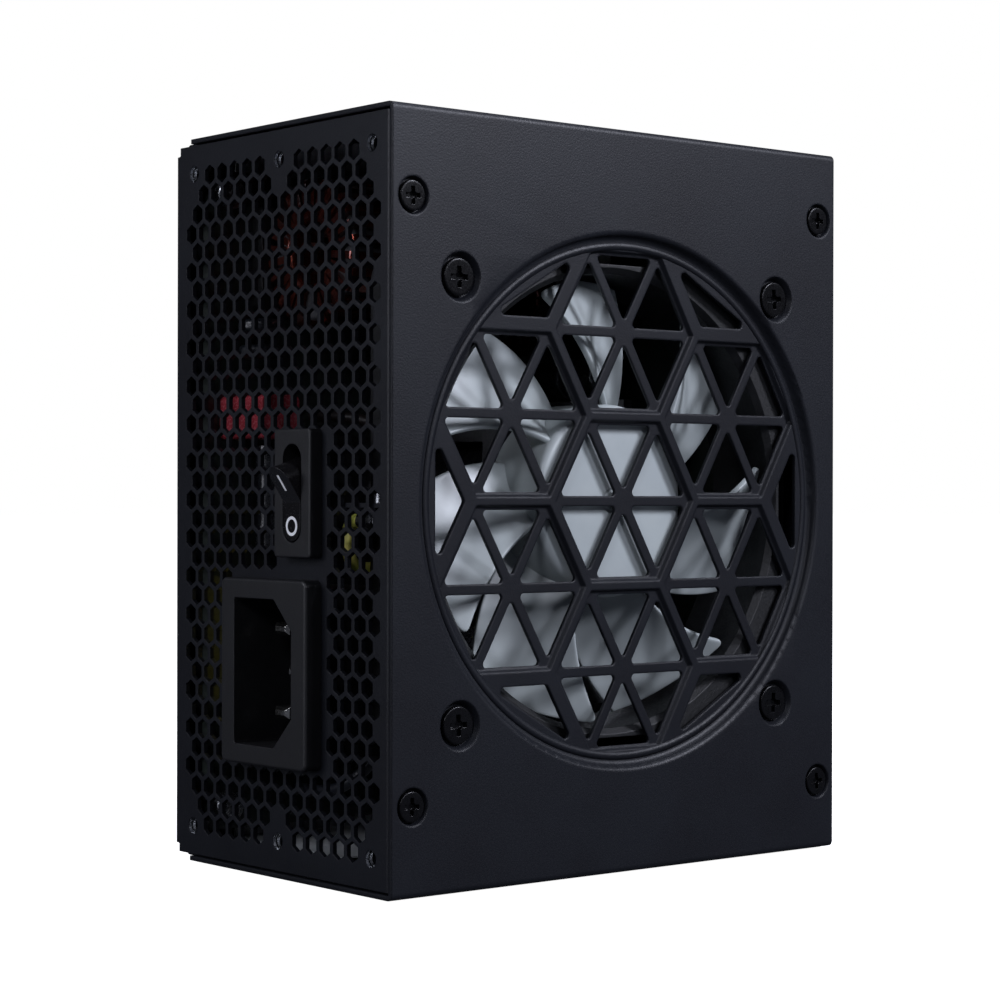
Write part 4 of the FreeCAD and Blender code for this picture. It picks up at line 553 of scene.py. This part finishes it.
makeHub()
bladeMaster = makeBlade()
for number in range(fan["blades"]):
    blade = copyOf(bladeMaster, "fanBlade" + str(number + 1))
    editAll(blade)
    bpy.ops.transform.rotate(value=-math.radians(360 / fan["blades"] * number), orient_axis="X",
                             center_override=fanMiddle)
    bpy.ops.object.mode_set(mode="OBJECT")
    settle(blade, finishes["blade_plastic"], "fan", "blade_plastic", "fan_rotor")
bpy.data.objects.remove(bladeMaster)
print("fan: hub and", fan["blades"], "blades")


# tapped case holes: bare threads that glint in the black plate

thread = {"outer": 1.42, "inner": 1.22, "from": -49.55, "pitch": 0.8, "turns": 2, "x": (-25.75, 0.0, 25.75),
          "z": (6.0, 119.0), "steps": 28}


def makeThread():
    # a zigzag profile turned about the hole's axis
    low, pitch = thread["from"], thread["pitch"]
    profile = [(low, thread["outer"])]
    for k in range(thread["turns"]):
        profile += [(low + (k + 0.5) * pitch, thread["inner"]), (low + (k + 1) * pitch, thread["outer"])]
    piece = drawLine("threadMaster", [Vector((0, y, radius)) * mm for y, radius in profile])
    spinLine(thread["steps"], (0, 0, 0), (0, 1, 0), inside=True)
    return piece


threadMaster = makeThread()
count = 0
for x in thread["x"]:
    for z in thread["z"]:
        count += 1
        hole = copyOf(threadMaster, "tappedThread" + str(count))
        hole.location = (x * mm, 0, z * mm)
        settle(hole, finishes["steel"], "case", "steel")
bpy.data.objects.remove(threadMaster)
print("tapped holes:", count)


# fan panel: a low drawn bead where the dish wall meets its floor

bead = {"outer": 43.7, "inner": 42.3, "high": 0.2, "floor": 30.25, "sunk": 0.1, "flatten": 1.4, "y": 0.7,
        "z": 62.5, "steps": 10, "spinSteps": 160}


def makeBead():
    middle = Vector((0, bead["y"], bead["z"])) * mm
    across = bead["outer"] - bead["inner"]
    foot = bead["floor"] - bead["sunk"]
    profile = [(foot, bead["outer"])]
    for k in range(bead["steps"] + 1):
        share = k / bead["steps"]
        profile.append((bead["floor"] + bead["high"] * math.sin(math.pi * share) ** bead["flatten"],
                        bead["outer"] - across * share))
    profile.append((foot, bead["inner"]))
    places = [Vector((x, bead["y"], bead["z"] + radius)) * mm for x, radius in profile]
    piece = drawLine("dishBead", places)
    bpy.ops.mesh.select_mode(type="VERT")
    bpy.ops.mesh.select_all(action="SELECT")
    bpy.ops.mesh.edge_face_add()            # closes the outline along its foot
    bpy.ops.mesh.delete(type="ONLY_FACE")   # and leaves it as edges
    spinLine(bead["spinSteps"], middle, (1, 0, 0))
    bpy.ops.object.shade_smooth_by_angle(angle=math.radians(50))
    return settle(piece, panelCoat, "case", "case_coat")


makeBead()
print("dish bead made")


# rocker marks: an upright bar and a ring, printed on the two facets

marks = {"x": 7.3, "pivotY": -48.0, "pivotZ": 63.7, "depth": 4.0, "turn": 34.0, "barAt": 4.7, "barLong": 3.0,
         "barWide": 0.55, "ringZ": 58.35, "ringR": 1.6, "ringWide": 0.5, "ink": 0.06}


def makeBar():
    lean = math.radians(marks["turn"])
    y = marks["pivotY"] - marks["depth"] * math.cos(lean) - marks["barAt"] * math.sin(lean)
    z = marks["pivotZ"] - marks["depth"] * math.sin(lean) + marks["barAt"] * math.cos(lean)
    bpy.ops.mesh.primitive_cube_add(size=1, location=(marks["x"] * mm, y * mm, z * mm),
                                    scale=(marks["barWide"] * mm, marks["ink"] * mm, marks["barLong"] * mm),
                                    rotation=(lean, 0, 0))
    bar = newPiece("rockerMarkBar")
    bpy.ops.object.transform_apply(location=True, rotation=True, scale=True)
    addModifier(bar, "BEVEL", width=0.02 * mm, segments=2)
    return settle(bar, markInk, "rocker", "rocker_plastic")


def makeRing():
    bpy.ops.mesh.primitive_cylinder_add(vertices=48, radius=marks["ringR"] * mm, depth=marks["ink"] * mm,
                                        location=(marks["x"] * mm, (marks["pivotY"] - marks["depth"]) * mm,
                                                  marks["ringZ"] * mm), rotation=(math.radians(90), 0, 0))
    ring = newPiece("rockerMarkRing")
    bpy.ops.object.transform_apply(location=True, rotation=True, scale=True)
    pickFaces(ring, lambda centre, normal: abs(normal.y) > 0.9)
    bpy.ops.mesh.inset(thickness=marks["ringWide"] * mm)
    bpy.ops.mesh.bridge_edge_loops()
    bpy.ops.object.mode_set(mode="OBJECT")
    editAll(ring)
    bpy.ops.mesh.normals_make_consistent(inside=False)
    bpy.ops.object.mode_set(mode="OBJECT")
    bpy.ops.object.shade_smooth_by_angle(angle=math.radians(40))
    return settle(ring, markInk, "rocker", "rocker_plastic")


makeBar()
makeRing()
print("rocker marks made")


# studio: floor, soft lights, camera

studio = {
    "middle": (0, 0, 62),
    "lights": {   # place in mm, size in mm, power in W, colour
        "keySoftBox": ((500, 340, 440), 180, 4.6, "#ecefff"),
        "edgeStrip": ((640, 40, 350), 110, 1.1, "#ecefff"),
        "frontStrip": ((400, -500, 340), 110, 0.8, "#eef1ff"),
        "plateFill": ((-160, -620, 260), 380, 1.9, "#eef1ff"),
        "topStrip": ((60, 120, 620), 300, 1.0, "#e9eeff"),
    },
    "airLow": "#101114", "airHigh": "#555864", "floor": "#f4f4f4", "floorGlow": 1.0,
}


def makeFloor():
    bpy.ops.mesh.primitive_plane_add(size=12, location=(0, 0, -0.0004))
    floor = newPiece("studioFloor")
    material = bpy.data.materials.new("matPaintedFloor")
    material.use_nodes = True
    material.node_tree.nodes.clear()
    shader = addNode(material, "ShaderNodeBsdfPrincipled", {"Base Color": hexColour(studio["floor"]),
                     "Roughness": 0.9, "Emission Color": hexColour("#ffffff"),
                     "Emission Strength": studio["floorGlow"]})
    ray = addNode(material, "ShaderNodeLightPath")
    plain = addNode(material, "ShaderNodeBsdfDiffuse", {"Color": hexColour("#54565a")})
    blend = addNode(material, "ShaderNodeMixShader", {},
                    {0: ray.outputs["Is Camera Ray"], 1: plain.outputs[0], 2: shader.outputs[0]})
    addNode(material, "ShaderNodeOutputMaterial", links={"Surface": blend.outputs[0]})
    floor.data.materials.append(material)


def makeAir():
    # plain white behind, a grey sky that darkens downwards for the reflections
    air = bpy.data.worlds.new("studioAir")
    scene.world = air
    air.use_nodes = True
    air.node_tree.nodes.clear()
    way = addNode(air, "ShaderNodeTexCoord")
    split = addNode(air, "ShaderNodeSeparateXYZ", {}, {0: way.outputs["Generated"]})
    ramp = addNode(air, "ShaderNodeValToRGB", links={"Fac": split.outputs["Z"]})
    paintTones(ramp, studio["airLow"], studio["airHigh"], 0.0, 0.9)
    soft = addNode(air, "ShaderNodeBackground", {"Strength": 1.0}, {"Color": ramp.outputs["Color"]})
    behind = addNode(air, "ShaderNodeBackground", {"Strength": 1.0, "Color": (1, 1, 1, 1)})
    ray = addNode(air, "ShaderNodeLightPath")
    blend = addNode(air, "ShaderNodeMixShader", {}, {0: ray.outputs["Is Camera Ray"], 1: soft.outputs[0],
                    2: behind.outputs[0]})
    addNode(air, "ShaderNodeOutputWorld", links={"Surface": blend.outputs[0]})


def makeLights():
    middle = Vector(studio["middle"]) * mm
    for name, (place, size, power, colour) in studio["lights"].items():
        bpy.ops.object.light_add(type="AREA", location=Vector(place) * mm)
        lamp = bpy.context.object
        lamp.name = name
        lamp.data.size = size * mm
        lamp.data.energy = power
        lamp.data.color = hexColour(colour)[:3]
        lamp.rotation_euler = (middle - lamp.location).to_track_quat("-Z", "Y").to_euler()


def makeCamera():
    view = {"place": (344.64, -286.97, 63.72), "turn": 50.41, "up": 0.146, "roll": 0.12, "lens": 90.63}
    bpy.ops.object.camera_add(location=Vector(view["place"]) * mm,
                              rotation=(math.radians(90 - view["up"]), math.radians(-view["roll"]),
                                        math.radians(view["turn"])))
    camera = bpy.context.object
    camera.name = "studioCamera"
    camera.data.lens = view["lens"]
    camera.data.sensor_width = 36
    camera.data.clip_start = 0.01
    scene.camera = camera


makeFloor()
makeAir()
makeLights()
makeCamera()
scene.view_settings.view_transform = "Standard"
print("studio set")

deselectAll()
